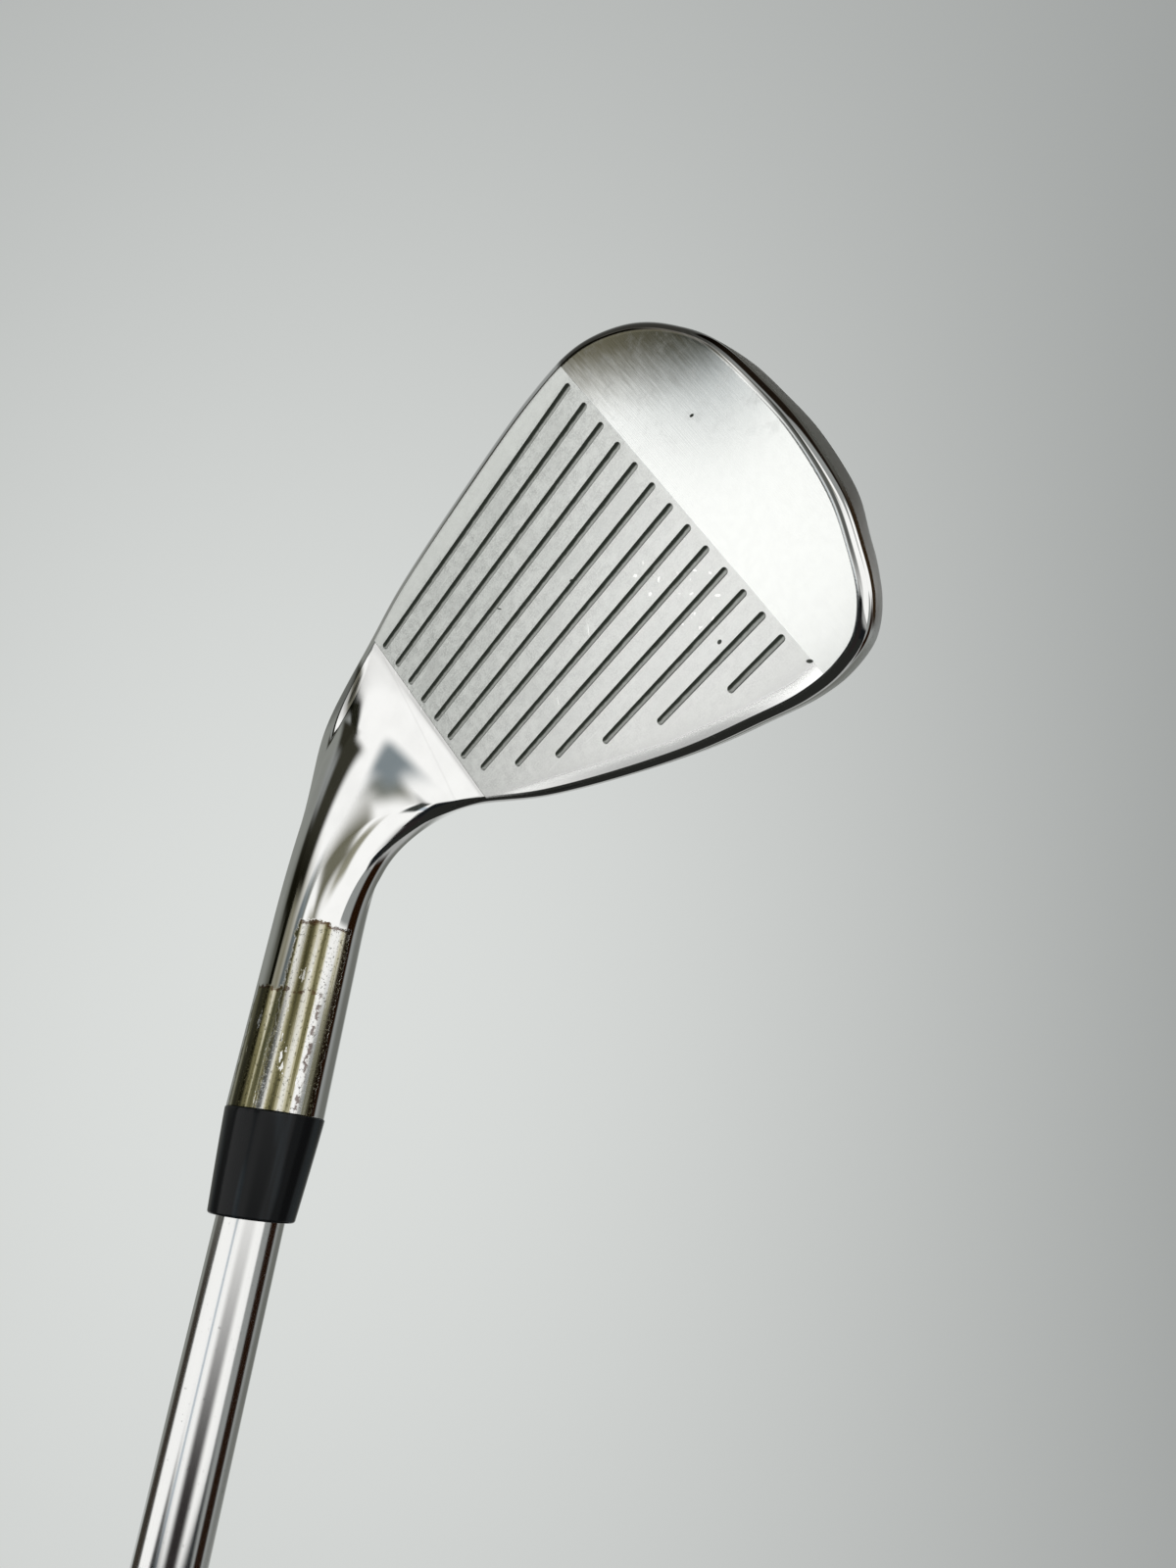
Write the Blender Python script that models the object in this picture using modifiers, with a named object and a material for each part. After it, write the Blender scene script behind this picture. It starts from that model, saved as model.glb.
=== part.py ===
"""Iron golf club (mid iron, right-handed): forged head, ferrule, stepped steel shaft, rubber grip.

World frame: +Z runs along the shaft from the butt to the head, +X is the toe side and -Y the side
that the face looks to. The origin is the centre of the grip's flat butt end. Units are metres.

The head is drawn in its address frame (x to the toe, y to the target, z up, origin where the shaft's
axis meets the ground) and turned onto the shaft by its object's matrix. Points of the face are given
in the face's own plane: u to the toe from the shaft's axis, v up the face from the leading edge's
blend, w out of the face.
"""

import math

import bmesh
import bpy
import numpy as np
from mathutils import Matrix

# ---------------------------------------------------------------- driving dimensions, metres
CLEARANCE = 0.0003  # gap kept between pieces that touch
CUT_BEYOND = 0.002  # how far a cutter runs out past the face that it opens

CLUB_LENGTH = 0.940  # butt end to the ground, along the shaft's axis
LOFT = math.radians(34.8)
LIE = math.radians(63.1)

# face and blade
BLADE_LENGTH = 0.0675  # heel end of the flat face to the toe end of the flat face
FACE_HEIGHT = 0.0548  # leading edge's blend to the highest point of the flat face
FACE_HEEL = 0.0115  # shaft's axis to the heel end of the flat face, along u
FACE_FORWARD = 0.0069  # shaft's axis to the leading edge's blend, along y
FACE_RISE = 0.0018  # ground to the leading edge's blend, along z
SOLE_WIDTH = 0.0150  # sole between its two rounded edges
SOLE_HEEL_SHARE = 0.80  # sole width at the heel, as a share of SOLE_WIDTH
SOLE_WIDENS = 0.5  # share of the blade's length over which the sole gets its full width
SOLE_CAMBER = math.radians(14)
LEADING_RADIUS = 0.0020
LEADING_TURN = math.radians(118)
TRAILING_RADIUS = 0.0028
BLADE_THICKNESS = 0.0038  # thinnest part of the blade, inside the rim
RIM_WIDTH = 0.0042  # flat of the rim along the topline and the toe
RIM_SLOPE = 0.0030  # slope from the rim down to the blade
MUSCLE_FLAT = 0.0035  # flat of the muscle above the trailing edge
MUSCLE_SLOPE = 0.0165  # slope of the muscle up to the blade

# score lines
SCORE_COUNT = 13
SCORE_PITCH = 0.0037
SCORE_FIRST = 0.0033  # leading edge's blend to the first line
SCORE_HEEL = 0.0130  # shaft's axis to the heel ends of the long lines
SCORE_LENGTH = 0.0499
SCORE_WIDTH = 0.0009
SCORE_DEPTH = 0.0004
SCORE_DRAFT = 0.0002  # each side narrows by this at the bottom of a line
SCORE_MARGIN = 0.0045  # least distance from a line's heel end to the topline

# hosel and neck
HOSEL_TOP = 0.0673  # ground to the hosel's end, along the shaft's axis
HOSEL_LENGTH = 0.0259  # turned part of the hosel, above the neck's blend
HOSEL_WALL = 0.00195
HOSEL_WAIST_INSET = 0.00015  # the hosel's foot is this much slimmer than its end
HOSEL_CHAMFER = 0.00025
BORE_DEPTH = 0.0309
NECK_START_PULL = (1.15, 2.2)  # how far the neck runs on from the blade: crotch side, heel side
NECK_END_PULL = (1.2, 2.3)  # and back from the hosel
NECK_FACE_PULL = (0.95, 2.4)  # the same two where the face turns into the hosel
NECK_FAN = 0.22  # how far the edge's front fans out up the face as it leaves the blade
NECK_FAN_SHARE = 0.375  # share of the edge that fans out

# shaft
TIP_RADIUS = 0.0047
BUTT_RADIUS = 0.0076
TIP_PARALLEL = 0.115  # least length from the shaft's tip to its first step
STEP_PITCH = 0.0381
STEP_SLOPE = 0.0008  # length of the cone at each step
STEP_BELOW_GRIP = 0.012  # the grip's mouth to the last step
TIP_WALL = 0.0006
BUTT_WALL = 0.0004

# ferrule
FERRULE_LENGTH = 0.0137
FERRULE_PROUD = 0.0001  # how far the ferrule stands out from the hosel
FERRULE_END_WALL = 0.0003
FERRULE_LIP = 0.00025
FERRULE_CURVE = 1.6  # 1 is a straight cone, more holds the width for longer

# weight in the shaft's tip
WEIGHT_LENGTH = 0.018
WEIGHT_HEAD_LENGTH = 0.0025
WEIGHT_TAPER = 0.0008

# grip
GRIP_LENGTH = 0.268
GRIP_MOUTH_WALL = 0.0011
GRIP_MOUTH_ROUND = 0.0007
GRIP_MOUTH_BAND = 0.0040  # straight band at the mouth
GRIP_NECK_WALL = 0.0027  # where the butt's flare starts
GRIP_FLARE_START = 0.0340  # height of the flare's start above the butt end
GRIP_FLARE_END = 0.0095
GRIP_BUTT_WALL = 0.0049
GRIP_BUTT_ROUND = 0.0022
GRIP_TAPER_CURVE = 1.35  # 1 is a straight taper, more widens it towards the butt
TAPE_THICKNESS = 0.0003
TAPE_SHORT = 0.0040  # how far the tape stops short of the grip's mouth
CAP_STEP = 0.0004  # how far the cap's pocket is wider than the grip's bore
CAP_THICKNESS = 0.0038
CAP_CHAMFER = 0.0003
VENT_RADIUS = 0.0014

# ---------------------------------------------------------------- shape of the head
# The flat face's outline as shares of BLADE_LENGTH and FACE_HEIGHT, from the heel end along the
# leading edge to the toe end, then back along the topline.
LOWER_OUTLINE = (
    (0.000, 0.029),
    (0.152, 0.008),
    (0.456, 0.000),
    (0.674, 0.005),
    (0.792, 0.025),
    (0.852, 0.057),
    (0.914, 0.117),
    (0.959, 0.190),
    (0.989, 0.278),
    (1.000, 0.438),
)
UPPER_OUTLINE = (
    (1.000, 0.438),
    (0.998, 0.567),
    (0.974, 0.732),
    (0.943, 0.828),
    (0.899, 0.927),
    (0.852, 0.980),
    (0.792, 0.999),
    (0.718, 0.993),
    (0.608, 0.954),
    (0.456, 0.890),
    (0.152, 0.713),
    (0.000, 0.593),
)

# The rounded edge's section round the blade, by the direction that the edge faces: -90 degrees is
# straight down at the sole, 0 is the toe, 90 and over the topline. Each column is one direction.
EDGE_FACING = np.radians([-90, -50, -28, -5, 12, 30, 55, 90, 112])
EDGE_RADIUS = (LEADING_RADIUS, 0.0016, 0.0012, 0.0014, 0.00145, 0.0013, 0.0012, 0.00095, 0.00075)
EDGE_TURN = (LEADING_TURN, *np.radians([105, 97, 90, 88, 88, 88, 88, 88]))
WALL_LENGTH = (SOLE_WIDTH, 0.0100, 0.0076, 0.0075, 0.0056, 0.0036, 0.0034, 0.0034, 0.0034)
WALL_TURN = (SOLE_CAMBER, *np.radians([14, 10, 7, 6, 6, 6, 6, 6]))
BACK_RADIUS = (TRAILING_RADIUS, 0.0030, 0.0026, 0.0022, 0.0020, 0.0018, 0.0015, 0.0013, 0.0013)

EDGE_EASE = 0.5  # 0 runs straight from one direction's section to the next, 1 eases fully
SOLE_FACING = np.radians([-50, -90])  # the sole's share grows from 0 to 1 between these directions
MUSCLE_FACING = np.radians([-6, -72])  # and so does the muscle's
FACING_WRAP = math.radians(-99)  # a direction below this is over the topline, turned to the heel
NECK_TURNS = np.radians([-30, 48, 130, 232, 330])  # where the blade's corners meet the hosel, from the target
BACK_FOCUS = 4  # how strongly the nearest part of the edge sets the back's thickness

# ---------------------------------------------------------------- mesh resolution
SHARP_ANGLE = math.radians(35)
ROUND_STEPS = 40
OUTLINE_HALF = 40  # segments of the face's outline from heel to toe end, top and bottom alike
OUTLINE_EVENNESS = 0.45  # 1 spaces those evenly, less gathers them at the toe
CURVE_POINTS = 24  # points between two of an outline's points
EDGE_SEGMENTS = 3
WALL_SEGMENTS = 4
EDGE_POINTS = 2 * EDGE_SEGMENTS + 2 + WALL_SEGMENTS
BACK_LOOPS = 5  # loops down the rim's slope
BACK_FIRST_LOOP = 0.75  # share of the rim's flat where the first loop lies
BACK_ROW_GATHER = 1.2  # 1 spaces the rows' points evenly, more gathers them at the muscle
BACK_ROW_SEGMENTS = 10  # segments across the back inside those loops
BACK_SAMPLES = 400
FACE_SEGMENTS = 2 * BACK_LOOPS + BACK_ROW_SEGMENTS  # segments up the face at its heel end
NECK_SEGMENTS = 12
SCORE_END_STEPS = 6
SCORE_TRIES = 400
ARC_SEGMENTS = 4
TAPER_SEGMENTS = 12
FLARE_SEGMENTS = 6

# ---------------------------------------------------------------- derived dimensions
HOSEL_TOP_Z = CLUB_LENGTH - HOSEL_TOP
BORE_RADIUS = TIP_RADIUS + CLEARANCE
HOSEL_RADIUS = BORE_RADIUS + HOSEL_WALL
FERRULE_END_RADIUS = BORE_RADIUS + FERRULE_END_WALL
SHAFT_TIP_Z = HOSEL_TOP_Z + BORE_DEPTH - CLEARANCE
SHAFT_BUTT_Z = CAP_THICKNESS + CLEARANCE
TAPE_INNER = BUTT_RADIUS + CLEARANCE
TAPE_OUTER = TAPE_INNER + TAPE_THICKNESS
GRIP_BORE = TAPE_OUTER + CLEARANCE
GRIP_MOUTH_RADIUS = GRIP_BORE + GRIP_MOUTH_WALL
GRIP_NECK_RADIUS = GRIP_BORE + GRIP_NECK_WALL
GRIP_BUTT_RADIUS = GRIP_BORE + GRIP_BUTT_WALL
CAP_POCKET = GRIP_BORE + CAP_STEP
CAP_RADIUS = CAP_POCKET - CLEARANCE

SHAFT_UP = np.array([-math.cos(LIE), 0, math.sin(LIE)])  # address frame, towards the grip
SHAFT_TOE = np.array([math.sin(LIE), 0, math.cos(LIE)])
SHAFT_TARGET = np.array([0, 1.0, 0])


# ---------------------------------------------------------------- frames
def address_matrix():
    """Address frame to the world: the shaft's axis turned upright, head up."""
    sin_lie, cos_lie = math.sin(LIE), math.cos(LIE)
    return Matrix(
        (
            (sin_lie, 0, cos_lie, 0),
            (0, -1, 0, 0),
            (cos_lie, 0, -sin_lie, CLUB_LENGTH),
            (0, 0, 0, 1),
        )
    )


def from_face(points):
    """(u, v, w) on the face to the address frame."""
    u, v, w = np.moveaxis(np.asarray(points, float), -1, 0)
    y = FACE_FORWARD - v * math.sin(LOFT) + w * math.cos(LOFT)
    z = FACE_RISE + v * math.cos(LOFT) + w * math.sin(LOFT)
    return np.stack([u, y, z], -1)


# ---------------------------------------------------------------- curves
def smooth(t):
    t = np.clip(t, 0, 1)
    return t * t * t * (t * (6 * t - 15) + 10)


def mixed(pair, share):
    """The first of a pair at share 0, the second at share 1."""
    return pair[0] + (pair[1] - pair[0]) * share


def catmull(points):
    """A centripetal Catmull-Rom curve through the points, as a dense polyline."""
    points = np.asarray(points, float)
    first = 2 * points[0] - points[1]
    last = 2 * points[-1] - points[-2]
    points = np.vstack([first, points, last])
    out = []
    for p0, p1, p2, p3 in zip(points, points[1:], points[2:], points[3:]):
        t1 = np.linalg.norm(p1 - p0) ** 0.5
        t2 = t1 + np.linalg.norm(p2 - p1) ** 0.5
        t3 = t2 + np.linalg.norm(p3 - p2) ** 0.5
        t = np.linspace(t1, t2, CURVE_POINTS, endpoint=False)[:, None]
        a1 = (t1 - t) / t1 * p0 + t / t1 * p1
        a2 = (t2 - t) / (t2 - t1) * p1 + (t - t1) / (t2 - t1) * p2
        a3 = (t3 - t) / (t3 - t2) * p2 + (t - t2) / (t3 - t2) * p3
        b1 = (t2 - t) / t2 * a1 + t / t2 * a2
        b2 = (t3 - t) / (t3 - t1) * a2 + (t - t1) / (t3 - t1) * a3
        out.append((t2 - t) / (t2 - t1) * b1 + (t - t1) / (t2 - t1) * b2)
    out.append(points[-2][None])
    return np.vstack(out)


def resample(line, shares):
    """Points of a polyline at shares (0 to 1) of its length."""
    run = np.concatenate([[0], np.cumsum(np.linalg.norm(np.diff(line, axis=0), axis=1))])
    at = np.asarray(shares) * run[-1]
    return np.stack([np.interp(at, run, line[:, k]) for k in range(line.shape[1])], -1)


def outward_normals(line):
    along = np.gradient(line, axis=0)
    along /= np.linalg.norm(along, axis=1, keepdims=True)
    return np.stack([along[:, 1], -along[:, 0]], -1)


def directions(normals):
    """The direction that each normal faces: -90 degrees at the sole, 0 at the toe, 90 at the topline."""
    facing = np.arctan2(normals[:, 1], normals[:, 0])
    return np.where(facing < FACING_WRAP, facing + 2 * math.pi, facing)


def share_between(ends, values):
    """0 at the first end, 1 at the second, eased."""
    return smooth((ends[0] - values) / (ends[0] - ends[1]))


def arc(centre, radius, start, end):
    """(radius, z) points of an arc, angles in degrees from the outward direction."""
    angles = np.radians(np.linspace(start, end, ARC_SEGMENTS + 1))
    return [(centre[0] + radius * math.cos(a), centre[1] + radius * math.sin(a)) for a in angles]


# ---------------------------------------------------------------- Blender helpers
def clear_scene():
    for obj in list(bpy.data.objects):
        bpy.data.objects.remove(obj, do_unlink=True)


def collection(name):
    made = bpy.data.collections.new(name)
    bpy.context.scene.collection.children.link(made)
    return made


def material(name, color, roughness, metallic):
    made = bpy.data.materials.new(name)
    made.use_nodes = True
    shader = made.node_tree.nodes["Principled BSDF"]
    shader.inputs["Base Color"].default_value = (*color, 1)
    shader.inputs["Roughness"].default_value = roughness
    shader.inputs["Metallic"].default_value = metallic
    return made


def piece(name, mesh, home, finish):
    """A piece with its finish, smooth below the angle of a machined edge."""
    obj = bpy.data.objects.new(name, mesh)
    home.objects.link(obj)
    mesh.materials.append(finish)
    mesh.shade_smooth()
    mesh.set_sharp_from_angle(angle=SHARP_ANGLE)
    return obj


def cutter(name, mesh, home):
    obj = bpy.data.objects.new(name, mesh)
    home.objects.link(obj)
    obj.hide_render = True
    obj.display_type = "WIRE"
    return obj


def profile_mesh(name, profile):
    """A closed (radius, z) profile that runs down its outer side, for a Screw about Z."""
    mesh = bpy.data.meshes.new(name)
    points = [(radius, 0, z) for radius, z in profile]
    edges = [(i, (i + 1) % len(points)) for i in range(len(points))]
    mesh.from_pydata(points, edges, [])
    return mesh


def spin(obj):
    screw = obj.modifiers.new("Screw", "SCREW")
    screw.axis = "Z"
    screw.steps = ROUND_STEPS
    screw.render_steps = ROUND_STEPS
    screw.use_merge_vertices = True
    screw.merge_threshold = 1e-5
    screw.use_smooth_shade = True


def turned(name, profile, home, finish):
    obj = bpy.data.objects.new(name, profile_mesh(name, profile))
    home.objects.link(obj)
    obj.data.materials.append(finish)
    spin(obj)


def cut(obj, tool):
    boolean = obj.modifiers.new(tool.name, "BOOLEAN")
    boolean.operation = "DIFFERENCE"
    boolean.solver = "EXACT"
    boolean.object = tool


def mesh_from(bm, name):
    bmesh.ops.recalc_face_normals(bm, faces=bm.faces)
    mesh = bpy.data.meshes.new(name)
    bm.to_mesh(mesh)
    bm.free()
    return mesh


def strip(bm, near, far):
    """Faces between two rows of vertices."""
    for a, b, c, d in zip(near, near[1:], far[1:], far):
        bm.faces.new((a, b, c, d))


# ---------------------------------------------------------------- head
def face_outline():
    """The flat face's edge, heel to toe end along the bottom and back along the top."""
    whole = np.vstack([LOWER_OUTLINE, UPPER_OUTLINE[1:]]) * [BLADE_LENGTH, FACE_HEIGHT]
    dense = catmull(whole)
    tip = CURVE_POINTS * (len(LOWER_OUTLINE) - 1)
    even = np.linspace(0, 1, OUTLINE_HALF + 1)
    shares = mixed((np.sin(even * math.pi / 2), even), OUTLINE_EVENNESS)
    lower = resample(dense[: tip + 1], shares)
    upper = resample(dense[tip:], 1 - shares[::-1])
    return np.vstack([lower, upper[1:]]) + [FACE_HEEL, 0]


def edge_sections(line):
    """For each outline point, the section of the edge from the face to the back, as (u, v, w).

    A section is three arcs run one after the other: the face's edge, the cambered wall or sole,
    and the back's edge.
    """
    normals = outward_normals(line)
    facing = np.clip(directions(normals), EDGE_FACING[0], EDGE_FACING[-1])
    blend = np.interp(facing, EDGE_FACING, np.arange(len(EDGE_FACING)))
    low = np.minimum(blend.astype(int), len(EDGE_FACING) - 2)
    part = blend - low
    part = mixed((part, part * part * (3 - 2 * part)), EDGE_EASE)

    def keyed(values):
        values = np.asarray(values)
        return mixed((values[low], values[low + 1]), part)

    turn = keyed(EDGE_TURN)
    camber = keyed(WALL_TURN)
    towards_toe = smooth((line[:, 0] - FACE_HEEL) / (SOLE_WIDENS * BLADE_LENGTH))
    sole_side = share_between(SOLE_FACING, facing)
    wall = keyed(WALL_LENGTH) * (1 - sole_side * (1 - SOLE_HEEL_SHARE) * (1 - towards_toe))
    arcs = (
        (turn, keyed(EDGE_RADIUS), EDGE_SEGMENTS + 2),
        (camber, wall / camber, WALL_SEGMENTS),
        (math.pi - turn - camber, keyed(BACK_RADIUS), EDGE_SEGMENTS),
    )
    out = np.zeros(len(line))
    depth = np.zeros(len(line))
    heading = np.zeros(len(line))
    outs, depths = [out], [depth]
    for angle, arc_radius, segments in arcs:
        step = angle / segments
        chord = 2 * arc_radius * np.sin(step / 2)
        for _ in range(segments):
            out = out + chord * np.cos(heading + step / 2)
            depth = depth + chord * np.sin(heading + step / 2)
            heading = heading + step
            outs.append(out)
            depths.append(depth)
    outs = np.stack(outs, 1)
    depths = np.stack(depths, 1)
    flat = line[:, None, :] + normals[:, None, :] * outs[:, :, None]
    return np.concatenate([flat, -depths[:, :, None]], -1)


def back_surface(back_edge):
    """The back inside its edge: loops that follow the edge, then rows across what is left.

    Each part of the edge leaves its own rim or muscle behind it, and at any point of the back the
    nearest parts count most, so that the muscle fades into the rim round the toe.
    """
    last = len(back_edge) - 1
    normals = outward_normals(back_edge[:, :2])
    sole_side = share_between(MUSCLE_FACING, directions(normals))
    flat = mixed((RIM_WIDTH, MUSCLE_FLAT), sole_side)
    slope = mixed((RIM_SLOPE, MUSCLE_SLOPE), sole_side)
    fine = resample(np.column_stack([back_edge, flat, slope]), np.linspace(0, 1, BACK_SAMPLES))
    raised = -fine[:, 2] - BLADE_THICKNESS

    def settled(points):
        apart = np.linalg.norm(points[:, None, :2] - fine[None, :, :2], axis=2)
        left = raised * (1 - smooth((apart - fine[:, 3]) / fine[:, 4]))
        weight = apart ** -BACK_FOCUS
        thickness = BLADE_THICKNESS + (left * weight).sum(axis=1) / weight.sum(axis=1)
        return np.column_stack([points[:, :2], -thickness])

    loops = []
    for share in np.linspace(0, 1, BACK_LOOPS):
        inset = mixed((BACK_FIRST_LOOP * flat, flat + RIM_SLOPE), share)
        loops.append(settled(back_edge[:, :2] - normals * inset[:, None]))
    inner = loops[-1]
    shares = np.linspace(0, 1, BACK_ROW_SEGMENTS + 1)[1:-1, None] ** BACK_ROW_GATHER
    rows = [settled(mixed((inner[i], inner[last - i]), shares)) for i in range(last // 2)]
    return loops, rows


def neck_rings(ring, leave):
    """Rings from the heel end of the blade to the hosel's end: rails first, then the turned part."""
    corner = np.cumsum([0, FACE_SEGMENTS, EDGE_POINTS, FACE_SEGMENTS, EDGE_POINTS])
    angle = np.interp(np.arange(len(ring)), corner, NECK_TURNS)
    foot = HOSEL_TOP - HOSEL_LENGTH
    around = np.cos(angle)[:, None] * SHAFT_TARGET + np.sin(angle)[:, None] * SHAFT_TOE
    end = foot * SHAFT_UP + (HOSEL_RADIUS - HOSEL_WAIST_INSET) * around
    reach = np.linalg.norm(end - ring, axis=1, keepdims=True)
    heel_side = (1 - np.sin(angle)[:, None]) / 2
    face_side = np.clip(np.cos(angle)[:, None], 0, 1) ** 2
    start_pull = leave * reach * mixed((mixed(NECK_START_PULL, heel_side), NECK_FACE_PULL[0]), face_side)
    end_pull = SHAFT_UP * reach * mixed((mixed(NECK_END_PULL, heel_side), NECK_FACE_PULL[1]), face_side)
    rings = []
    for t in np.linspace(0, 1, NECK_SEGMENTS + 1)[1:]:
        arrive = t * t * (3 - 2 * t)
        rail = mixed((ring, end), arrive)
        rings.append(rail + t * (1 - t) ** 2 * start_pull + t * t * (t - 1) * end_pull)
    rings.append((HOSEL_TOP - HOSEL_CHAMFER) * SHAFT_UP + HOSEL_RADIUS * around)
    rings.append(HOSEL_TOP * SHAFT_UP + (HOSEL_RADIUS - HOSEL_CHAMFER) * around)
    return rings


def unit(rows):
    return rows / np.linalg.norm(rows, axis=1, keepdims=True)


def head_mesh():
    sections = edge_sections(face_outline())
    last = len(sections) - 1
    bm = bmesh.new()

    def verts_of(points):
        return [bm.verts.new(p) for p in from_face(points)]

    edge = [verts_of(section) for section in sections]
    for near, far in zip(edge, edge[1:]):
        strip(bm, near, far)
    up = np.linspace(0, 1, FACE_SEGMENTS + 1)[1:-1, None]
    heel_line = verts_of(mixed((sections[0][0], sections[-1][0]), up))
    bm.faces.new([section[0] for section in edge] + heel_line[::-1])

    back_loops, back_rows = back_surface(sections[:, -1])
    loops = [[section[-1] for section in edge]] + [verts_of(loop) for loop in back_loops]
    for outer, inner in zip(loops, loops[1:]):
        strip(bm, outer, inner)
    inner = loops[-1]
    rows = [[inner[i], *verts_of(row), inner[last - i]] for i, row in enumerate(back_rows)]
    for near, far in zip(rows, rows[1:]):
        strip(bm, near, far)
    for a, b in zip(rows[-1], rows[-1][1:]):
        bm.faces.new((a, b, inner[last // 2]))

    # the open ring at the heel: up the face, over the top, down the back, along the sole
    down_back = [loop[-1] for loop in loops[1:]] + rows[0][-2:0:-1] + [loop[0] for loop in loops[:0:-1]]
    ring = [edge[0][0], *heel_line, *edge[-1], *down_back, *edge[0][:0:-1]]
    low_leave = unit(from_face(sections[0]) - from_face(sections[1]))
    high_leave = unit(from_face(sections[-1]) - from_face(sections[-2]))
    up_the_edge = unit(-np.gradient(from_face(sections[0]), axis=0))
    fan = NECK_FAN * np.clip(1 - np.linspace(0, 1 / NECK_FAN_SHARE, len(low_leave)), 0, 1)[:, None]
    low_leave = unit(low_leave + fan * up_the_edge)
    face_leave = mixed((low_leave[0], high_leave[0]), up)
    back_leave = mixed((high_leave[-1], low_leave[-1]), up)
    leave = np.vstack([low_leave[:1], face_leave, high_leave, back_leave, low_leave[:0:-1]])
    for points in neck_rings(np.array([v.co for v in ring]), leave):
        new_ring = [bm.verts.new(p) for p in points]
        strip(bm, ring + ring[:1], new_ring + new_ring[:1])
        ring = new_ring
    bm.faces.new(ring)
    return mesh_from(bm, "club_head")


def score_lines():
    """Heel end, toe end and height of each score line: the upper ones stop short of the topline."""
    line = face_outline()
    top = line[len(line) // 2 :]
    toe = SCORE_HEEL + SCORE_LENGTH
    tries = np.linspace(SCORE_HEEL, toe, SCORE_TRIES)
    found = []
    for i in range(SCORE_COUNT):
        v = SCORE_FIRST + i * SCORE_PITCH
        ends = np.column_stack([tries, np.full_like(tries, v)])
        apart = np.linalg.norm(top[None] - ends[:, None], axis=2).min(axis=1)
        close = np.flatnonzero(apart < SCORE_MARGIN)
        found.append((tries[close[-1] + 1] if len(close) else SCORE_HEEL, toe, v))
    return found


def slot_outline(heel, toe, v, half_width):
    """(u, v) points round a slot with round ends."""
    points = []
    turn = np.linspace(-math.pi / 2, math.pi / 2, SCORE_END_STEPS + 1)
    for side, end in ((1, toe), (-1, heel)):
        centre = end - side * SCORE_WIDTH / 2
        for a in turn:
            points.append((centre + side * half_width * math.cos(a), v + side * half_width * math.sin(a)))
    return np.array(points)


def score_mesh():
    """One long slot for each score line, narrower at the bottom."""
    bm = bmesh.new()
    for heel, toe, v in score_lines():
        rings = []
        for w, half_width in (
            (SCORE_DEPTH, SCORE_WIDTH / 2 + SCORE_DRAFT),
            (-SCORE_DEPTH, SCORE_WIDTH / 2 - SCORE_DRAFT),
        ):
            outline = slot_outline(heel, toe, v, half_width)
            level = np.full((len(outline), 1), w)
            rings.append([bm.verts.new(p) for p in from_face(np.hstack([outline, level]))])
        top, bottom = rings
        strip(bm, top + top[:1], bottom + bottom[:1])
        bm.faces.new(top)
        bm.faces.new(bottom)
    return mesh_from(bm, "score_cutter")


def build_head(parts, cutters):
    """The head, with its score lines and the shaft's bore cut out."""
    head = piece("club_head", head_mesh(), parts, material("chrome_plate", (0.80, 0.80, 0.78), 0.12, 1.0))
    head.matrix_world = address_matrix()
    scores = cutter("score_cutter", score_mesh(), cutters)
    scores.matrix_world = address_matrix()
    cut(head, scores)
    inside = HOSEL_TOP_Z + BORE_DEPTH
    outside = HOSEL_TOP_Z - CUT_BEYOND
    profile = [(0, inside), (BORE_RADIUS, inside), (BORE_RADIUS, outside), (0, outside)]
    bore = cutter("bore_cutter", profile_mesh("bore_cutter", profile), cutters)
    spin(bore)
    cut(head, bore)


# ---------------------------------------------------------------- turned pieces
def build_shaft(parts):
    """Stepped tube: parallel tip, a run of steps, parallel butt under the grip."""
    last_step = GRIP_LENGTH + STEP_BELOW_GRIP
    spans = int((SHAFT_TIP_Z - TIP_PARALLEL - last_step) / STEP_PITCH)
    first_step = last_step + spans * STEP_PITCH
    rise = (BUTT_RADIUS - TIP_RADIUS) / (spans + 1)
    profile = [(TIP_RADIUS, SHAFT_TIP_Z)]
    for i in range(spans + 1):
        z = first_step - i * STEP_PITCH
        profile.append((TIP_RADIUS + i * rise, z))
        profile.append((TIP_RADIUS + (i + 1) * rise, z - STEP_SLOPE))
    profile.append((BUTT_RADIUS, SHAFT_BUTT_Z))
    profile.append((BUTT_RADIUS - BUTT_WALL, SHAFT_BUTT_Z))
    profile.append((BUTT_RADIUS - BUTT_WALL, last_step))
    profile.append((TIP_RADIUS - TIP_WALL, first_step))
    profile.append((TIP_RADIUS - TIP_WALL, SHAFT_TIP_Z))
    turned("shaft", profile, parts, material("shaft_chrome", (0.76, 0.76, 0.75), 0.10, 1.0))


def build_ferrule(parts):
    """Tapered plastic collar on the shaft, flush with the hosel's end."""
    base = HOSEL_TOP_Z - CLEARANCE
    end = base - FERRULE_LENGTH
    base_radius = HOSEL_RADIUS + FERRULE_PROUD
    profile = [(BORE_RADIUS, base), (base_radius - FERRULE_LIP, base)]
    for t in np.linspace(0, 1, FLARE_SEGMENTS + 1):
        radius = mixed((base_radius, FERRULE_END_RADIUS + FERRULE_LIP), t**FERRULE_CURVE)
        profile.append((radius, mixed((base - FERRULE_LIP, end + FERRULE_LIP), t)))
    profile.append((FERRULE_END_RADIUS, end))
    profile.append((BORE_RADIUS, end))
    turned("ferrule", profile, parts, material("ferrule_plastic", (0.01, 0.01, 0.011), 0.22, 0.0))


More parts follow.
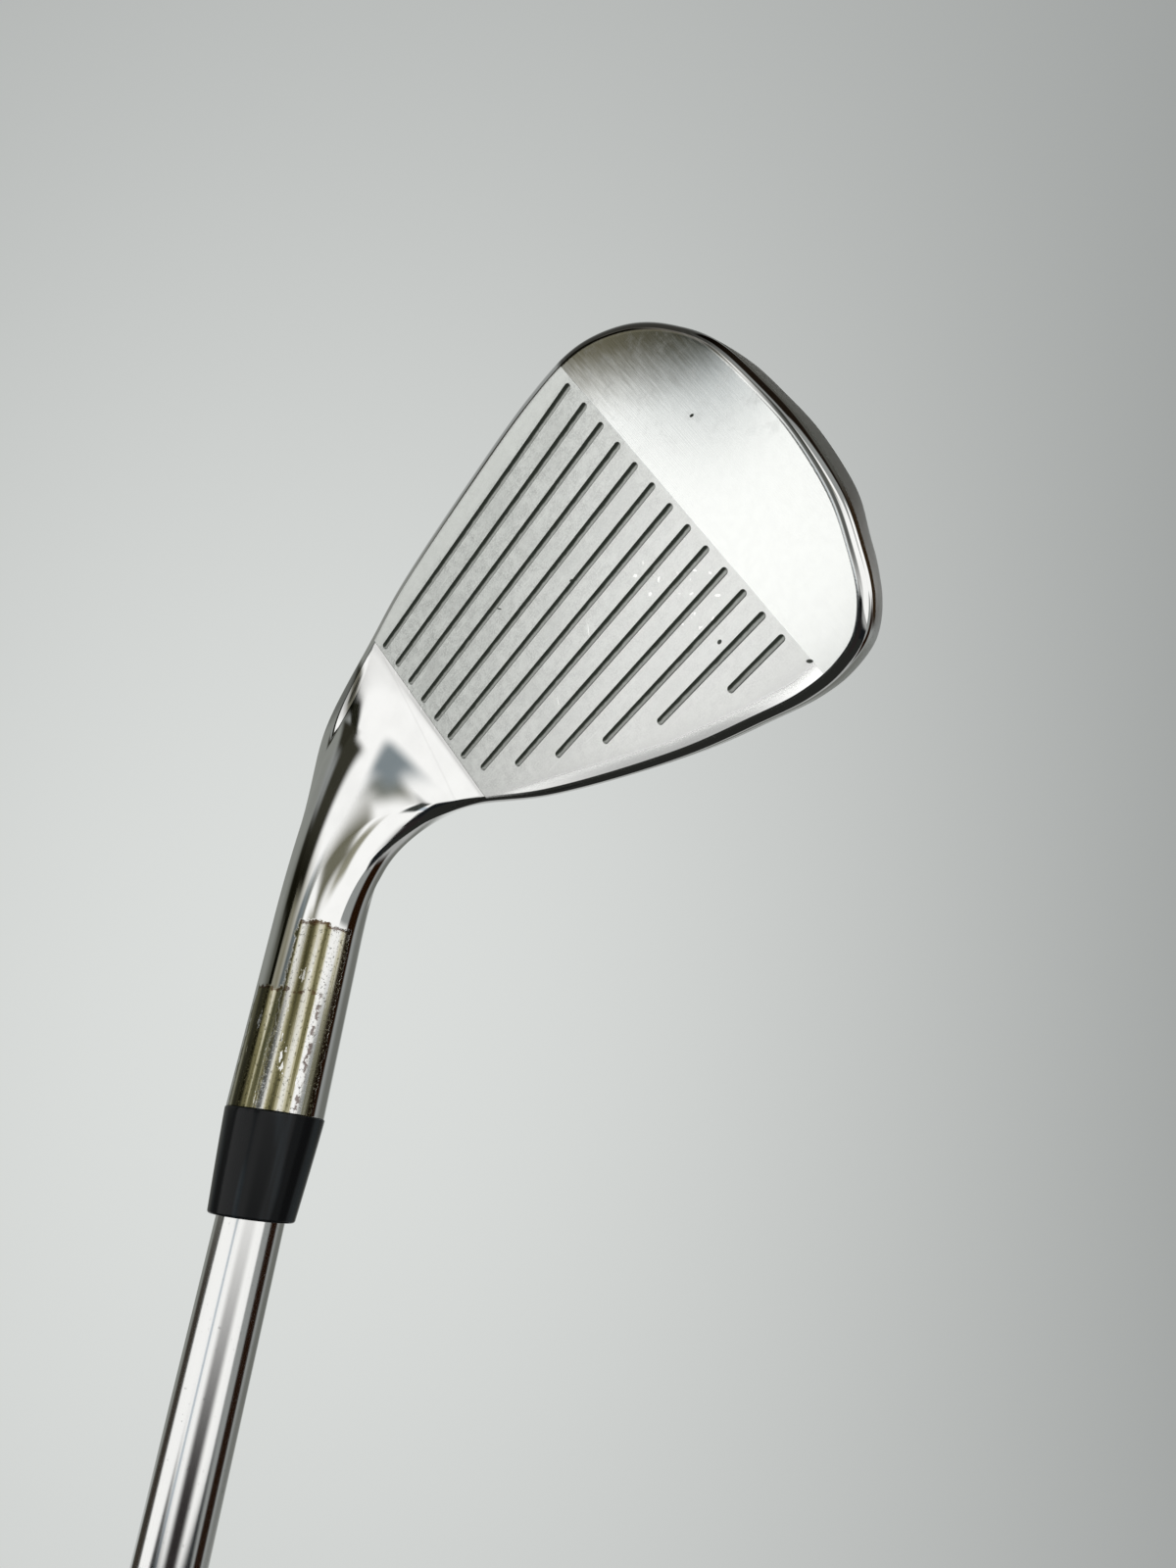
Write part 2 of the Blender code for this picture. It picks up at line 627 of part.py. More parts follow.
def build_tip_weight(parts):
    """Swing-weight pin that is set in the shaft's tip."""
    radius = TIP_RADIUS - TIP_WALL - CLEARANCE
    pin = radius - WEIGHT_TAPER
    shoulder = SHAFT_TIP_Z - WEIGHT_HEAD_LENGTH
    end = SHAFT_TIP_Z - WEIGHT_LENGTH
    profile = [
        (0, SHAFT_TIP_Z),
        (radius - WEIGHT_TAPER / 2, SHAFT_TIP_Z),
        (radius, SHAFT_TIP_Z - WEIGHT_TAPER / 2),
        (radius, shoulder),
        (pin, shoulder - WEIGHT_TAPER),
        (pin, end + WEIGHT_TAPER),
        (pin - WEIGHT_TAPER, end),
        (0, end),
    ]
    turned("tip_weight", profile, parts, material("weight_brass", (0.72, 0.53, 0.25), 0.35, 1.0))


def build_grip_tape(parts):
    top = GRIP_LENGTH - TAPE_SHORT
    profile = [(TAPE_OUTER, top), (TAPE_OUTER, SHAFT_BUTT_Z), (TAPE_INNER, SHAFT_BUTT_Z), (TAPE_INNER, top)]
    turned("grip_tape", profile, parts, material("tape_paper", (0.78, 0.74, 0.62), 0.85, 0.0))


def build_grip(parts):
    """Rubber sleeve: rounded mouth, long taper, flare and flat end at the butt."""
    profile = [(GRIP_BORE, GRIP_LENGTH)]
    round_centre = (GRIP_MOUTH_RADIUS - GRIP_MOUTH_ROUND, GRIP_LENGTH - GRIP_MOUTH_ROUND)
    profile += arc(round_centre, GRIP_MOUTH_ROUND, 90, 0)
    for t in np.linspace(0, 1, TAPER_SEGMENTS + 1):
        radius = mixed((GRIP_MOUTH_RADIUS, GRIP_NECK_RADIUS), t**GRIP_TAPER_CURVE)
        profile.append((radius, mixed((GRIP_LENGTH - GRIP_MOUTH_BAND, GRIP_FLARE_START), t)))
    for t in np.linspace(0, 1, FLARE_SEGMENTS + 1)[1:]:
        radius = mixed((GRIP_NECK_RADIUS, GRIP_BUTT_RADIUS), float(smooth(t)))
        profile.append((radius, mixed((GRIP_FLARE_START, GRIP_FLARE_END), t)))
    profile += arc((GRIP_BUTT_RADIUS - GRIP_BUTT_ROUND, GRIP_BUTT_ROUND), GRIP_BUTT_ROUND, 0, -90)
    profile.append((CAP_POCKET, 0))
    profile.append((CAP_POCKET, SHAFT_BUTT_Z))
    profile.append((GRIP_BORE, SHAFT_BUTT_Z))
    turned("grip", profile, parts, material("grip_rubber", (0.018, 0.018, 0.019), 0.75, 0.0))


def build_end_cap(parts):
    """Disc that closes the grip's butt, with the vent that lets the air out in fitting."""
    profile = [
        (VENT_RADIUS, CAP_THICKNESS),
        (CAP_RADIUS, CAP_THICKNESS),
        (CAP_RADIUS, CAP_CHAMFER),
        (CAP_RADIUS - CAP_CHAMFER, 0),
        (VENT_RADIUS + CAP_CHAMFER, 0),
        (VENT_RADIUS, CAP_CHAMFER),
    ]
    turned("grip_end_cap", profile, parts, material("cap_rubber", (0.022, 0.022, 0.023), 0.55, 0.0))


def main():
    clear_scene()
    parts = collection("iron_golf_club")
    cutters = collection("cutters")
    build_head(parts, cutters)
    build_ferrule(parts)
    build_shaft(parts)
    build_tip_weight(parts)
    build_grip_tape(parts)
    build_grip(parts)
    build_end_cap(parts)


main()
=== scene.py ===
"""Iron golf club: head, ferrule, stepped shaft and rubber grip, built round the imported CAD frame.

World frame: +Z runs along the shaft from the butt to the head, +X is the toe side and -Y the side
that the face looks to. Units are metres. The head is drawn in the face's own axes: u to the toe from
the shaft's axis, v up the face from the leading edge, d into the head from the flat face. Its mesh
keeps them as an attribute, which its finishes read.
"""

import math
from functools import reduce

import bmesh
import bpy
import numpy as np
from bpy.props import FloatProperty, FloatVectorProperty, IntProperty, PointerProperty
from bpy.types import Operator, Panel, PropertyGroup
from mathutils import Matrix, Vector


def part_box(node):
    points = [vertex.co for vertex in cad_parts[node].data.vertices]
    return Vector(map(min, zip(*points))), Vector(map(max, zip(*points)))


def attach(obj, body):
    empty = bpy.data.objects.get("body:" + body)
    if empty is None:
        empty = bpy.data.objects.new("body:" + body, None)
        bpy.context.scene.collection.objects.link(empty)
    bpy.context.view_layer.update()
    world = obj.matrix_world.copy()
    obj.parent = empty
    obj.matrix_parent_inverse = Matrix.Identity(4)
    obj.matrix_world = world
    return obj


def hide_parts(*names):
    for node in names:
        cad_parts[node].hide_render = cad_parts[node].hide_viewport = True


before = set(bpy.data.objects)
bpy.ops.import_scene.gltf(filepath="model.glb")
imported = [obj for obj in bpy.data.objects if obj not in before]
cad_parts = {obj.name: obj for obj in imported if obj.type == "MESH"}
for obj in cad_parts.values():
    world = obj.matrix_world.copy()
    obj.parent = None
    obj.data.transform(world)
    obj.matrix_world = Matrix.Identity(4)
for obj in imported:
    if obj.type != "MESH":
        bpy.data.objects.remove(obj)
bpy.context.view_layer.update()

bl_info = {
    "name": "Iron Golf Club",
    "version": (1, 0, 0),
    "blender": (4, 5, 0),
    "location": "3D View > Sidebar > Golf Club",
    "description": "Builds a detailed iron golf club, piece by piece, with its finishes and a studio",
    "category": "Add Mesh",
}

BODY = "root"
FACE_AXES = "face_axes"  # attribute that keeps a point's u, v and d
CLEARANCE = 0.0003  # gap kept between pieces that touch

# ---------------------------------------------------------------- sizes that the frame gives
HOSEL_TOP_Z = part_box("ferrule")[1].z + CLEARANCE
FERRULE_END_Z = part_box("ferrule")[0].z
FERRULE_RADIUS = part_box("ferrule")[1].y
SHAFT_TIP_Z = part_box("shaft")[1].z
SHAFT_BUTT_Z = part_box("shaft")[0].z
BUTT_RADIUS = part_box("shaft")[1].y
GRIP_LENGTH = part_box("grip")[1].z
GRIP_BUTT_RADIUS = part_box("grip")[1].y
CAP_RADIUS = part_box("grip_end_cap")[1].y
CAP_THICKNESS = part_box("grip_end_cap")[1].z

# ---------------------------------------------------------------- shape of the head
FACE_FORWARD = 0.0069  # shaft's axis to the leading edge's blend, along the target line
FACE_RISE = 0.0018  # ground to the leading edge's blend
LEADING_RADIUS = 0.0020
LEADING_TURN = math.radians(118)
TRAILING_RADIUS = 0.0028
SOLE_CAMBER = math.radians(14)
SOLE_HEEL_SHARE = 0.80  # width of the sole at the heel, as a share of its full width
SOLE_WIDENS = 0.5  # share of the blade over which the sole reaches its full width
RIM_SLOPE = 0.0030  # slope of the rim down to the blade
MUSCLE_FLAT = 0.0035  # flat of the muscle above the trailing edge
MUSCLE_SLOPE = 0.0165  # slope of the muscle up to the blade
SCORE_FIRST = 0.0033  # leading edge to the lowest score line
SCORE_DRAFT = 0.0002  # how far each side of a score line leans in
SCORE_MARGIN = 0.0045  # clear face between a score line and the topline
SCORE_LIP = 0.00007  # rounding of a score line's edge
SCORE_LIP_TURNS = np.radians([30, 60, 90])
# A score line's side below its lip: shares of the draft, and of the depth.
SCORE_SIDE = ((0.5, 0.75), (1.0, 0.94), (1.4, 1.0))
HOSEL_LENGTH = 0.0259
HOSEL_WALL = 0.00195
HOSEL_WAIST_INSET = 0.00015  # how much slimmer the hosel is where the neck begins
HOSEL_CHAMFER = 0.00012
TIP_RADIUS = 0.0047
BORE_RADIUS = TIP_RADIUS + CLEARANCE
HOSEL_RADIUS = BORE_RADIUS + HOSEL_WALL
BORE_DEPTH = SHAFT_TIP_Z + CLEARANCE - HOSEL_TOP_Z
# How strongly the neck's rails hold their first and last directions: on the toe side, at the heel.
NECK_START_PULL = (1.15, 2.2)
NECK_END_PULL = (1.2, 2.3)
NECK_FACE_PULL = (0.95, 2.4)  # at the start and at the end of the rails from the face
NECK_FAN = 0.22  # how far the rails from the leading edge spread up along it
NECK_FAN_SHARE = 0.375
# Turns round the hosel that the corners of the blade's heel end lead to.
NECK_TURNS = np.radians([-30, 48, 130, 232, 330])

# The flat face's outline as shares of the blade's length and the face's height, from the heel end
# along the leading edge to the toe end, then back along the topline.
LOWER_OUTLINE = (
    (0.000, 0.029),
    (0.152, 0.008),
    (0.456, 0.000),
    (0.674, 0.005),
    (0.792, 0.025),
    (0.852, 0.057),
    (0.914, 0.117),
    (0.959, 0.190),
    (0.989, 0.278),
    (1.000, 0.438),
)
UPPER_OUTLINE = (
    (1.000, 0.438),
    (0.998, 0.567),
    (0.974, 0.732),
    (0.943, 0.828),
    (0.899, 0.927),
    (0.852, 0.980),
    (0.792, 0.999),
    (0.718, 0.993),
    (0.608, 0.954),
    (0.456, 0.890),
    (0.152, 0.713),
    (0.000, 0.593),
)
TOP_POINTS = slice(6, 11)  # the upper outline's points along the topline

# The rounded edge's section round the blade, by the direction that the edge faces: -90 degrees is
# straight down at the sole, 0 is the toe, 90 and over the topline. Each column is one direction.
EDGE_FACING = np.radians([-90, -50, -28, -5, 12, 30, 55, 90, 112])
EDGE_RADIUS = (LEADING_RADIUS, 0.0016, 0.0012, 0.0014, 0.00145, 0.0013, 0.0012, 0.00095, 0.00075)
EDGE_TURN = (LEADING_TURN, *np.radians([105, 97, 90, 88, 88, 88, 88, 88]))
FACE_INSET = (0, 0, 0, 0, 0, 0.0001, 0.0003, 0.0005, 0.0005)
WALL_WIDTH = (0.0100, 0.0076, 0.0075, 0.0056, 0.0036, 0.0034, 0.0034, 0.0034)  # after the sole's own
WALL_TURN = (SOLE_CAMBER, *np.radians([14, 10, 7, 6, 6, 6, 6, 6]))
BACK_RADIUS = (TRAILING_RADIUS, 0.0030, 0.0026, 0.0022, 0.0020, 0.0018, 0.0015, 0.0013, 0.0013)
EDGE_EASE = 0.5  # 0 joins the columns by straight lines, 1 eases in and out of each
SOLE_FACING = np.radians([-50, -90])  # the sole's share grows between these directions
MUSCLE_FACING = np.radians([-6, -72])  # and so does the muscle's
FACING_WRAP = math.radians(-99)  # directions below this belong to the topline's end
BACK_FOCUS = 4  # how much more the nearest part of the edge counts for the back
BACK_FIRST_LOOP = 0.75  # share of the rim's flat up to the first loop
BACK_ROW_GATHER = 1.2  # 1 spaces the rows' points evenly, more gathers them at the muscle

# ---------------------------------------------------------------- shape of the turned pieces
FERRULE_SEAT = 0.00003  # the finer ferrule stops this much short of the plain one's end
FERRULE_LIP = 0.00012
FERRULE_END_WALL = 0.0010
FERRULE_END_LIP = 0.0004
FERRULE_BLACK = (0.004, 0.004, 0.004)  # colour of the fine rings round it
GRIP_TO_STEP = 0.012  # grip's mouth to the nearest step of the shaft
STEP_SLOPE = 0.0008  # length over which the shaft narrows at a step
TAPE_THICKNESS = 0.0003
GRIP_BORE = BUTT_RADIUS + 2 * CLEARANCE + TAPE_THICKNESS
GRIP_MOUTH = GRIP_BORE + 0.0011
GRIP_NECK = GRIP_BORE + 0.0027  # the grip's radius above its flare
GRIP_MOUTH_BAND = 0.0040
GRIP_MOUTH_ROUND = 0.0007
GRIP_BUTT_ROUND = 0.0022
GRIP_FLARE = (0.0340, 0.0095)  # heights between which the grip widens to its butt
GRIP_TAPER = 1.35  # 1 is a straight cone
GROOVE_ENDS = (0.012, 0.014)  # plain rubber at the butt and at the mouth
GROOVE_FADE = 0.002
GROOVE_FLOOR = 0.4  # flat bottom of a groove, as a share of its half width
VENT_RADIUS = 0.0014
CAP_CHAMFER = 0.0003

# ---------------------------------------------------------------- where the head's finishes lie
HIT_MARGIN = 0.0007  # blasted area beyond the ends of the score lines
AREA_SOFT = 0.00006  # softness of the areas' edges on the face
FACE_SKIN = (-0.00004, 0.00004)  # depths that count as on the flat face
FACE_SKIN_SOFT = 0.00003
CAVITY_DEPTH = (0.0020, 0.0026)  # depths and heights between which the back's satin begins
CAVITY_RISE = (HOSEL_TOP_Z + 0.030, HOSEL_TOP_Z + 0.036)
PAINTED_LIGHT_TOE_SHARE = 0.35  # painted light: the face gets brighter up and, by this share, towards the toe
PAINTED_LIGHT_RANGE = (0.016, 0.062)
SOLE_PAINTED_HIGHLIGHT = 0.0016  # painted highlight: a brighter strip below the lowest score line
TOP_LIGHT = (0.0034, 0.0003)  # distances below the topline over which the face is polished
STAIN_EDGE = (0.0645, 0.0)  # a point of the line along which the toe has tarnished
STAIN_TURN = math.radians(133.2)  # the way it fades, from the toe's direction
STAIN_FADE = (0.0095, -0.0010)
STAIN_END = (0.0230, 0.0150)
STAIN_WANDER = 0.0045  # how far its edge wanders
SMUDGE_FADE = (0.016, 0.007)
CHIPPED_U = (0.052, 0.0605, 0.004)  # where the small chips gather: from, to and softness
CHIPPED_V = (0.026, 0.043, 0.005)
CHIP_LEVELS = ((0.80, 0.655), (0.84, 0.675))  # noise at which a chip begins and is full: elsewhere, there
# The heel's painted shade and painted dark reflection follow a line whose height grows with u: by these
# shares before and past the axis.
HEEL_SLOPES = (0.75, 0.48)
HEEL_U = (-0.0085, 0.0074, 0.0010)
HEEL_D = (-0.0008, 0.0018, 0.0004)
HEEL_FRONT = (0.0, -0.001)
HEEL_SHADE = (0.0047, 0.0040)
HEEL_PAINTED_REFLECTION = (0.0043, 0.0060, 0.0006)
# Painted shade: a faint line just heel-wards of the hitting area, leaning towards the heel as it rises.
CREASE_FAN = 0.167  # how far the flat beside the hitting area widens towards the topline
CREASE_SHADE = (-0.0004, -0.0002, 0.00025)
CREASE_SHADE_D = (-0.002, 0.002, 0.0005)
RIM_STAIN_D = (0.0016, 0.0004)
RIM_STAIN_U = (-0.0008, 0.0004)
# Painted shade: a dark line where the toe's edge begins to round: its depths, heights and softness, and how
# far past the hitting area it grows in.
RIM_SHADE_D = (0.00004, 0.00024, 0.00005)
RIM_SHADE_V = (0.024, 0.050, 0.005)
RIM_SHADE_U = 0.004
# The two worn patches of the hosel: the height of the top and the turns between the sides of each.
WORN_TOPS = (HOSEL_TOP_Z + 0.0268, HOSEL_TOP_Z + 0.0169)
WORN_TURNS = ((-0.80, 0.42), (-1.60, -0.79))
WORN_SOFT = 0.0002
WORN_RAGGED = 0.0030  # how far the patches' tops wander up and down
WORN_RAGGED_TURN = 90.0  # radians that the patches' sides wander, for each metre of that
WORN_SIDE_LINE = (-0.02, 0.06, 0.03)  # the dark line down one side
WORN_TURN_SOFT = 0.03
WORN_LINES = (0.0005, 0.0001, 0.00015)  # dark line: how far below a patch's top, and its softness
# Painted reflections along the worn hosel, bright and dark streaks by turn: turn, half width, and how bright
# it is painted there.
WORN_PAINTED_REFLECTIONS = (
    (-1.24, 0.14, 0.0),
    (-0.64, 0.08, 0.85),
    (-0.45, 0.05, 0.0),
    (-0.28, 0.07, 0.75),
    (0.06, 0.13, 0.95),
)
# A dark band along the heel side of the neck and hosel, a painted dark reflection with a tarnish's streaks:
# its turns and softness, the height where it ends, and its fade.
TARNISH_AND_REFLECTION_TURNS = (-1.33, -0.84, 0.16)
TARNISH_AND_REFLECTION_TOP = HOSEL_TOP_Z + 0.046
TARNISH_AND_REFLECTION_FADE = 0.014
# The first is the colour of the painted light up the blasted face.
PAINTED_LIGHT_METAL = (1.0, 1.0, 0.98)
POLISHED_METAL = (1.0, 1.0, 0.99)
NICKED_METAL = (0.95, 0.95, 0.94)
# Marks on the face: place (u, v), half length and half width, and turn.
PIT = ((0.0720, 0.0200), (0.00035, 0.00020), 0.4)
DARK_MARKS = (
    ((0.0562, 0.0424), (0.00040, 0.00030), 0.0),
    ((0.0633, 0.0521), (0.00052, 0.00027), 0.75),
    ((0.0339, 0.0152), (0.00050, 0.00012), 0.9),
    ((0.0455, 0.0212), (0.00030, 0.00014), 0.2),
)
NICKS = (
    ((0.0531, 0.0312), (0.00032, 0.00030), 0.0),
    ((0.0538, 0.0371), (0.00050, 0.00016), 0.8),
    ((0.0557, 0.0369), (0.00055, 0.00018), 1.0),
    ((0.0574, 0.0354), (0.00040, 0.00016), 0.4),
    ((0.0599, 0.0381), (0.00055, 0.00020), 0.7),
    ((0.0610, 0.0354), (0.00035, 0.00016), 1.2),
    ((0.0596, 0.0335), (0.00060, 0.00014), 1.0),
    ((0.0560, 0.0404), (0.00030, 0.00018), 0.2),
    ((0.0430, 0.0278), (0.00110, 0.00008), 2.3),
    ((0.0324, 0.0313), (0.00090, 0.00008), 2.0),
)

# ---------------------------------------------------------------- mesh resolution
SHARP_ANGLE = math.radians(35)
FINER = 4  # how many times finer the head is than its CAD solid
HEAD_FIT = 0.9996  # the finer head is scaled by this, so that its rounder edges stay inside the plain one
CURVE_POINTS = 48
OUTLINE_HALF = 40 * FINER
OUTLINE_EVENNESS = 0.45
EDGE_SEGMENTS = 3 * FINER
FRONT_SEGMENTS = 5 * FINER
WALL_SEGMENTS = 4 * FINER
EDGE_POINTS = FRONT_SEGMENTS + WALL_SEGMENTS + EDGE_SEGMENTS
BACK_LOOPS = 5
BACK_ROW_SEGMENTS = 10 * FINER
BACK_SAMPLES = 800
FACE_SEGMENTS = 2 * BACK_LOOPS * FINER + BACK_ROW_SEGMENTS
NECK_SEGMENTS = 12 * FINER
CHAMFER_POINTS = 5
SCORE_END_STEPS = 16
SCORE_TRIES = 800
ROUND_STEPS = 96
ARC_STEPS = 8
STEP_POINTS = 9
FERRULE_ROWS = 33
GRIP_STEPS = 160
GRIP_ROWS = 420

# ---------------------------------------------------------------- studio
STUDIO_CENTRE = Vector((0.03, 0.0, 0.91))
NECK_CENTRE = Vector((0.0, 0.0, 0.905))
SHAFT_CENTRE = Vector((0.0, 0.0, 0.73))
FLOOR_RADIUS = 2.4
SENSOR_WIDTH = 36
NEAREST = 0.005  # what is closer to the camera than this isn't seen
LAMP_SPREAD = math.radians(70)
# Soft lamps: name, azimuth and elevation in degrees, distance, size, and the setting of its power.
LAMPS = (
    ("key_lamp", -95, 12, 1.3, 1.0, "key_power"),
    ("fill_lamp", 178, -20, 1.1, 0.7, "fill_power"),
)
BACKDROP_PLACE = (70.6, 6.5)  # azimuth and elevation of the backdrop's brightest place
BACKDROP_SIDE = (160.6, 0)
BACKDROP_NARROWS = 1.34  # how much faster it darkens sideways than up and down
BACKDROP_REACH = 1.07
BACKDROP_BEHIND = (0.3, -0.1)
# Cards that only polished surfaces see, by the centre that they stand round: name, azimuth and
# elevation in degrees, distance, width, height, colour, share of each side that fades, and roll.
CARD_WHITE = (1.12, 1.12, 1.11)
CARDS = (
    (
        STUDIO_CENTRE,
        (
            ("white_card", 186, -1, 1.5, 1.95, 1.90, CARD_WHITE, 0.05, -20),
            ("low_white_card", 157, -18, 1.45, 0.44, 0.50, CARD_WHITE, 0.15, 0),
            ("key_card", -108, -4, 1.6, 3.60, 1.45, CARD_WHITE, 0.05, 0),
            ("side_card", -40, 22, 1.4, 1.50, 0.80, CARD_WHITE, 0.12, 0),
            ("grey_card", 105, 6, 1.7, 3.20, 1.60, (0.270, 0.280, 0.260), 0.12, 0),
            ("streak_card", 154, 5, 1.3, 0.30, 0.90, (0.016, 0.016, 0.010), 0.28, -28),
            ("brow_card", 153, 18, 1.27, 0.78, 0.45, (0.030, 0.029, 0.020), 0.28, 0),
            ("hosel_card", 167, 24, 1.25, 0.80, 0.56, (0.040, 0.039, 0.028), 0.28, 0),
            ("heel_card", 126, -32, 1.2, 0.80, 0.80, (0.060, 0.058, 0.045), 0.20, 0),
            ("low_card", 172, -43, 1.18, 1.30, 0.54, (0.024, 0.025, 0.022), 0.08, 0),
            ("corner_card", 215, -37.5, 1.15, 0.95, 0.44, (0.004, 0.004, 0.004), 0.08, 0),
            ("olive_card", 221, 17, 1.15, 0.86, 0.16, (0.16, 0.155, 0.11), 0.35, -21),
            ("moss_card", 200, 12, 1.17, 0.26, 0.56, (0.22, 0.22, 0.18), 0.40, -25),
            ("cream_card", 233, 9, 1.25, 1.06, 0.16, (0.30, 0.29, 0.22), 0.35, -7),
            ("shelf_card", -68, 64, 2.0, 4.20, 1.62, (0.012, 0.008, 0.005), 0.10, 0),
            ("post_card", -9, 33, 1.3, 0.42, 0.96, (0.030, 0.018, 0.009), 0.25, 0),
            ("beam_card", 20, 55, 1.6, 1.85, 0.80, (0.080, 0.080, 0.070), 0.30, 0),
            ("door_card", -22, -4, 1.2, 0.76, 1.35, (0.016, 0.006, 0.002), 0.20, 0),
            ("rear_card", 25, -2, 1.5, 1.70, 1.60, (0.170, 0.175, 0.160), 0.35, 0),
            ("ground_card", 0, -90, 0.31, 0.84, 0.84, (0.022, 0.023, 0.021), 0.10, 0),
            ("floor_card", -110, -60, 0.42, 1.40, 0.51, (0.010, 0.012, 0.014), 0.12, 0),
        ),
    ),
    (
        NECK_CENTRE,
        (
            ("blue_card", 192, 7, 0.35, 0.093, 0.27, (0.24, 0.28, 0.30), 0.35, -42),
            ("crotch_card", 208, -4, 0.25, 0.080, 0.094, (0.045, 0.050, 0.046), 0.25, 0),
        ),
    ),
    (
        SHAFT_CENTRE,
        (
            ("near_card", 250, 0, 0.20, 0.205, 0.29, (0.024, 0.020, 0.020), 0.36, 0),
            ("ice_card", 208, -6, 0.60, 0.10, 0.60, (0.55, 0.62, 0.68), 0.30, 0),
            ("shade_card", 133, 0, 0.50, 0.42, 0.34, (0.045, 0.038, 0.030), 0.35, 0),
        ),
    ),
)


# ---------------------------------------------------------------- what a user would change
def number(name, description, default, **more):
    return FloatProperty(name=name, description=description, default=default, **more)


def length(name, description, default):
    return number(name, description, default, unit="LENGTH")


def angle(name, description, degrees):
    return number(name, description, math.radians(degrees), subtype="ANGLE")


def count(name, description, default):
    return IntProperty(name=name, description=description, default=default, min=1)


def shade(name, description, default):
    return FloatVectorProperty(name=name, description=description, default=default, subtype="COLOR")


class HeadSettings(PropertyGroup):
    club_length: length("Club Length", "Butt end to the ground, along the shaft's axis", 0.940)
    loft: angle("Loft", "Angle that the face leans back from upright", 34.8)
    lie: angle("Lie", "Angle between the shaft and the ground", 63.1)
    blade_length: length("Blade Length", "Heel end to toe end of the flat face", 0.0675)
    face_height: length("Face Height", "Leading edge to the highest point of the flat face", 0.0548)
    face_heel: length("Face Offset", "Shaft's axis to the heel end of the flat face", 0.0115)
    sole_width: length("Sole Width", "Width of the sole between its two rounded edges", 0.0150)
    blade_thickness: length("Blade Thickness", "Thickness of the blade inside the rim", 0.0038)
    rim_width: length("Rim Width", "Flat of the rim behind the topline and the toe", 0.0042)
    score_count: count("Score Lines", "Number of lines cut across the face", 13)
    score_pitch: length("Score Pitch", "Distance from one score line to the next", 0.0037)
    score_heel: length("Score Start", "Shaft's axis to the heel ends of the long score lines", 0.0130)
    score_length: length("Score Length", "Length of the long score lines", 0.0499)
    score_width: length("Score Width", "Width of a score line at the face", 0.0009)
    score_depth: length("Score Depth", "Depth of a score line", 0.0004)
    chrome: shade("Chrome", "Colour of the polished plating", (0.83, 0.83, 0.82))
    blasted: shade("Blasted Face", "Colour of the sand-blasted hitting area", (0.56, 0.575, 0.55))
    blasted_metal: number(
        "Blasted Sheen", "How metallic it is, from 0 for matt to 1", 0.45, min=0, max=1, subtype="FACTOR"
    )
    satin: shade("Satin Toe", "Colour of the brushed metal beside the hitting area", (0.905, 0.92, 0.90))
    toe_stain: shade("Toe Stain", "Colour of the tarnish on the toe's corner", (0.115, 0.108, 0.075))
    rim_stain: shade("Rim Stain", "Colour of the tarnish on the edge round it", (0.035, 0.028, 0.016))
    # Also the colour of the painted shade at the toe's rim and in the score lines.
    dirt_and_shade: shade("Score Dirt", "Colour of the dirt in the score lines", (0.022, 0.026, 0.020))
    score_metal: shade("Score Metal", "Colour of the bare metal in the score lines", (0.62, 0.64, 0.60))
    worn_brass: shade("Worn Hosel", "Colour of the hosel where its plating has worn", (0.50, 0.47, 0.34))
    # Also the colour of the painted dark reflections at the heel and along the neck and hosel.
    olive_tarnish_and_reflection: shade("Hosel Tarnish", "Colour of the tarnished bands on the hosel", (0.17, 0.155, 0.075))
    worn_rust: shade("Hosel Rust", "Colour of the dark lines on the worn hosel", (0.07, 0.028, 0.014))


class ShaftSettings(PropertyGroup):
    step_pitch: length("Step Pitch", "Distance from one step of the shaft to the next", 0.0381)
    tip_parallel: length("Parallel Tip", "Least length from the shaft's tip to its first step", 0.115)
    tip_wall: length("Tip Wall", "Wall of the tube at the tip", 0.0006)
    butt_wall: length("Butt Wall", "Wall of the tube at the butt", 0.0004)
    chrome: shade("Chrome", "Colour of the shaft's plating", (0.80, 0.80, 0.79))


class FerruleSettings(PropertyGroup):
    plastic: shade("Plastic", "Colour of the ferrule", (0.0045, 0.0050, 0.0055))
    # Painted highlight: the lighter streaks along the ferrule.
    painted_glint: shade("Streak", "Colour of the faint polishing streaks along it", (0.012, 0.016, 0.019))
    curve: number("Curve", "1 is a straight cone, more holds the width for longer", 1.1, min=1)


class GripSettings(PropertyGroup):
    rubber: shade("Rubber", "Colour of the grip", (0.020, 0.020, 0.021))
    groove_depth: length("Groove Depth", "Depth of the grooves that cross the grip", 0.00045)
    groove_width: length("Groove Width", "Width of each groove", 0.0011)
    groove_count: count("Grooves", "Number of grooves that wind round the grip each way", 10)
    groove_lead: length("Groove Lead", "Length of grip over which a groove winds once round", 0.085)


class HiddenSettings(PropertyGroup):
    brass: shade("Brass", "Colour of the tip weight", (0.72, 0.53, 0.25))
    brass_dull: shade("Dull Brass", "Colour of the rings round it", (0.60, 0.42, 0.18))
    paper: shade("Paper", "Colour of the grip tape", (0.78, 0.74, 0.62))
    paper_dark: shade("Paper Fibres", "Colour of the darker fibres in it", (0.66, 0.61, 0.49))


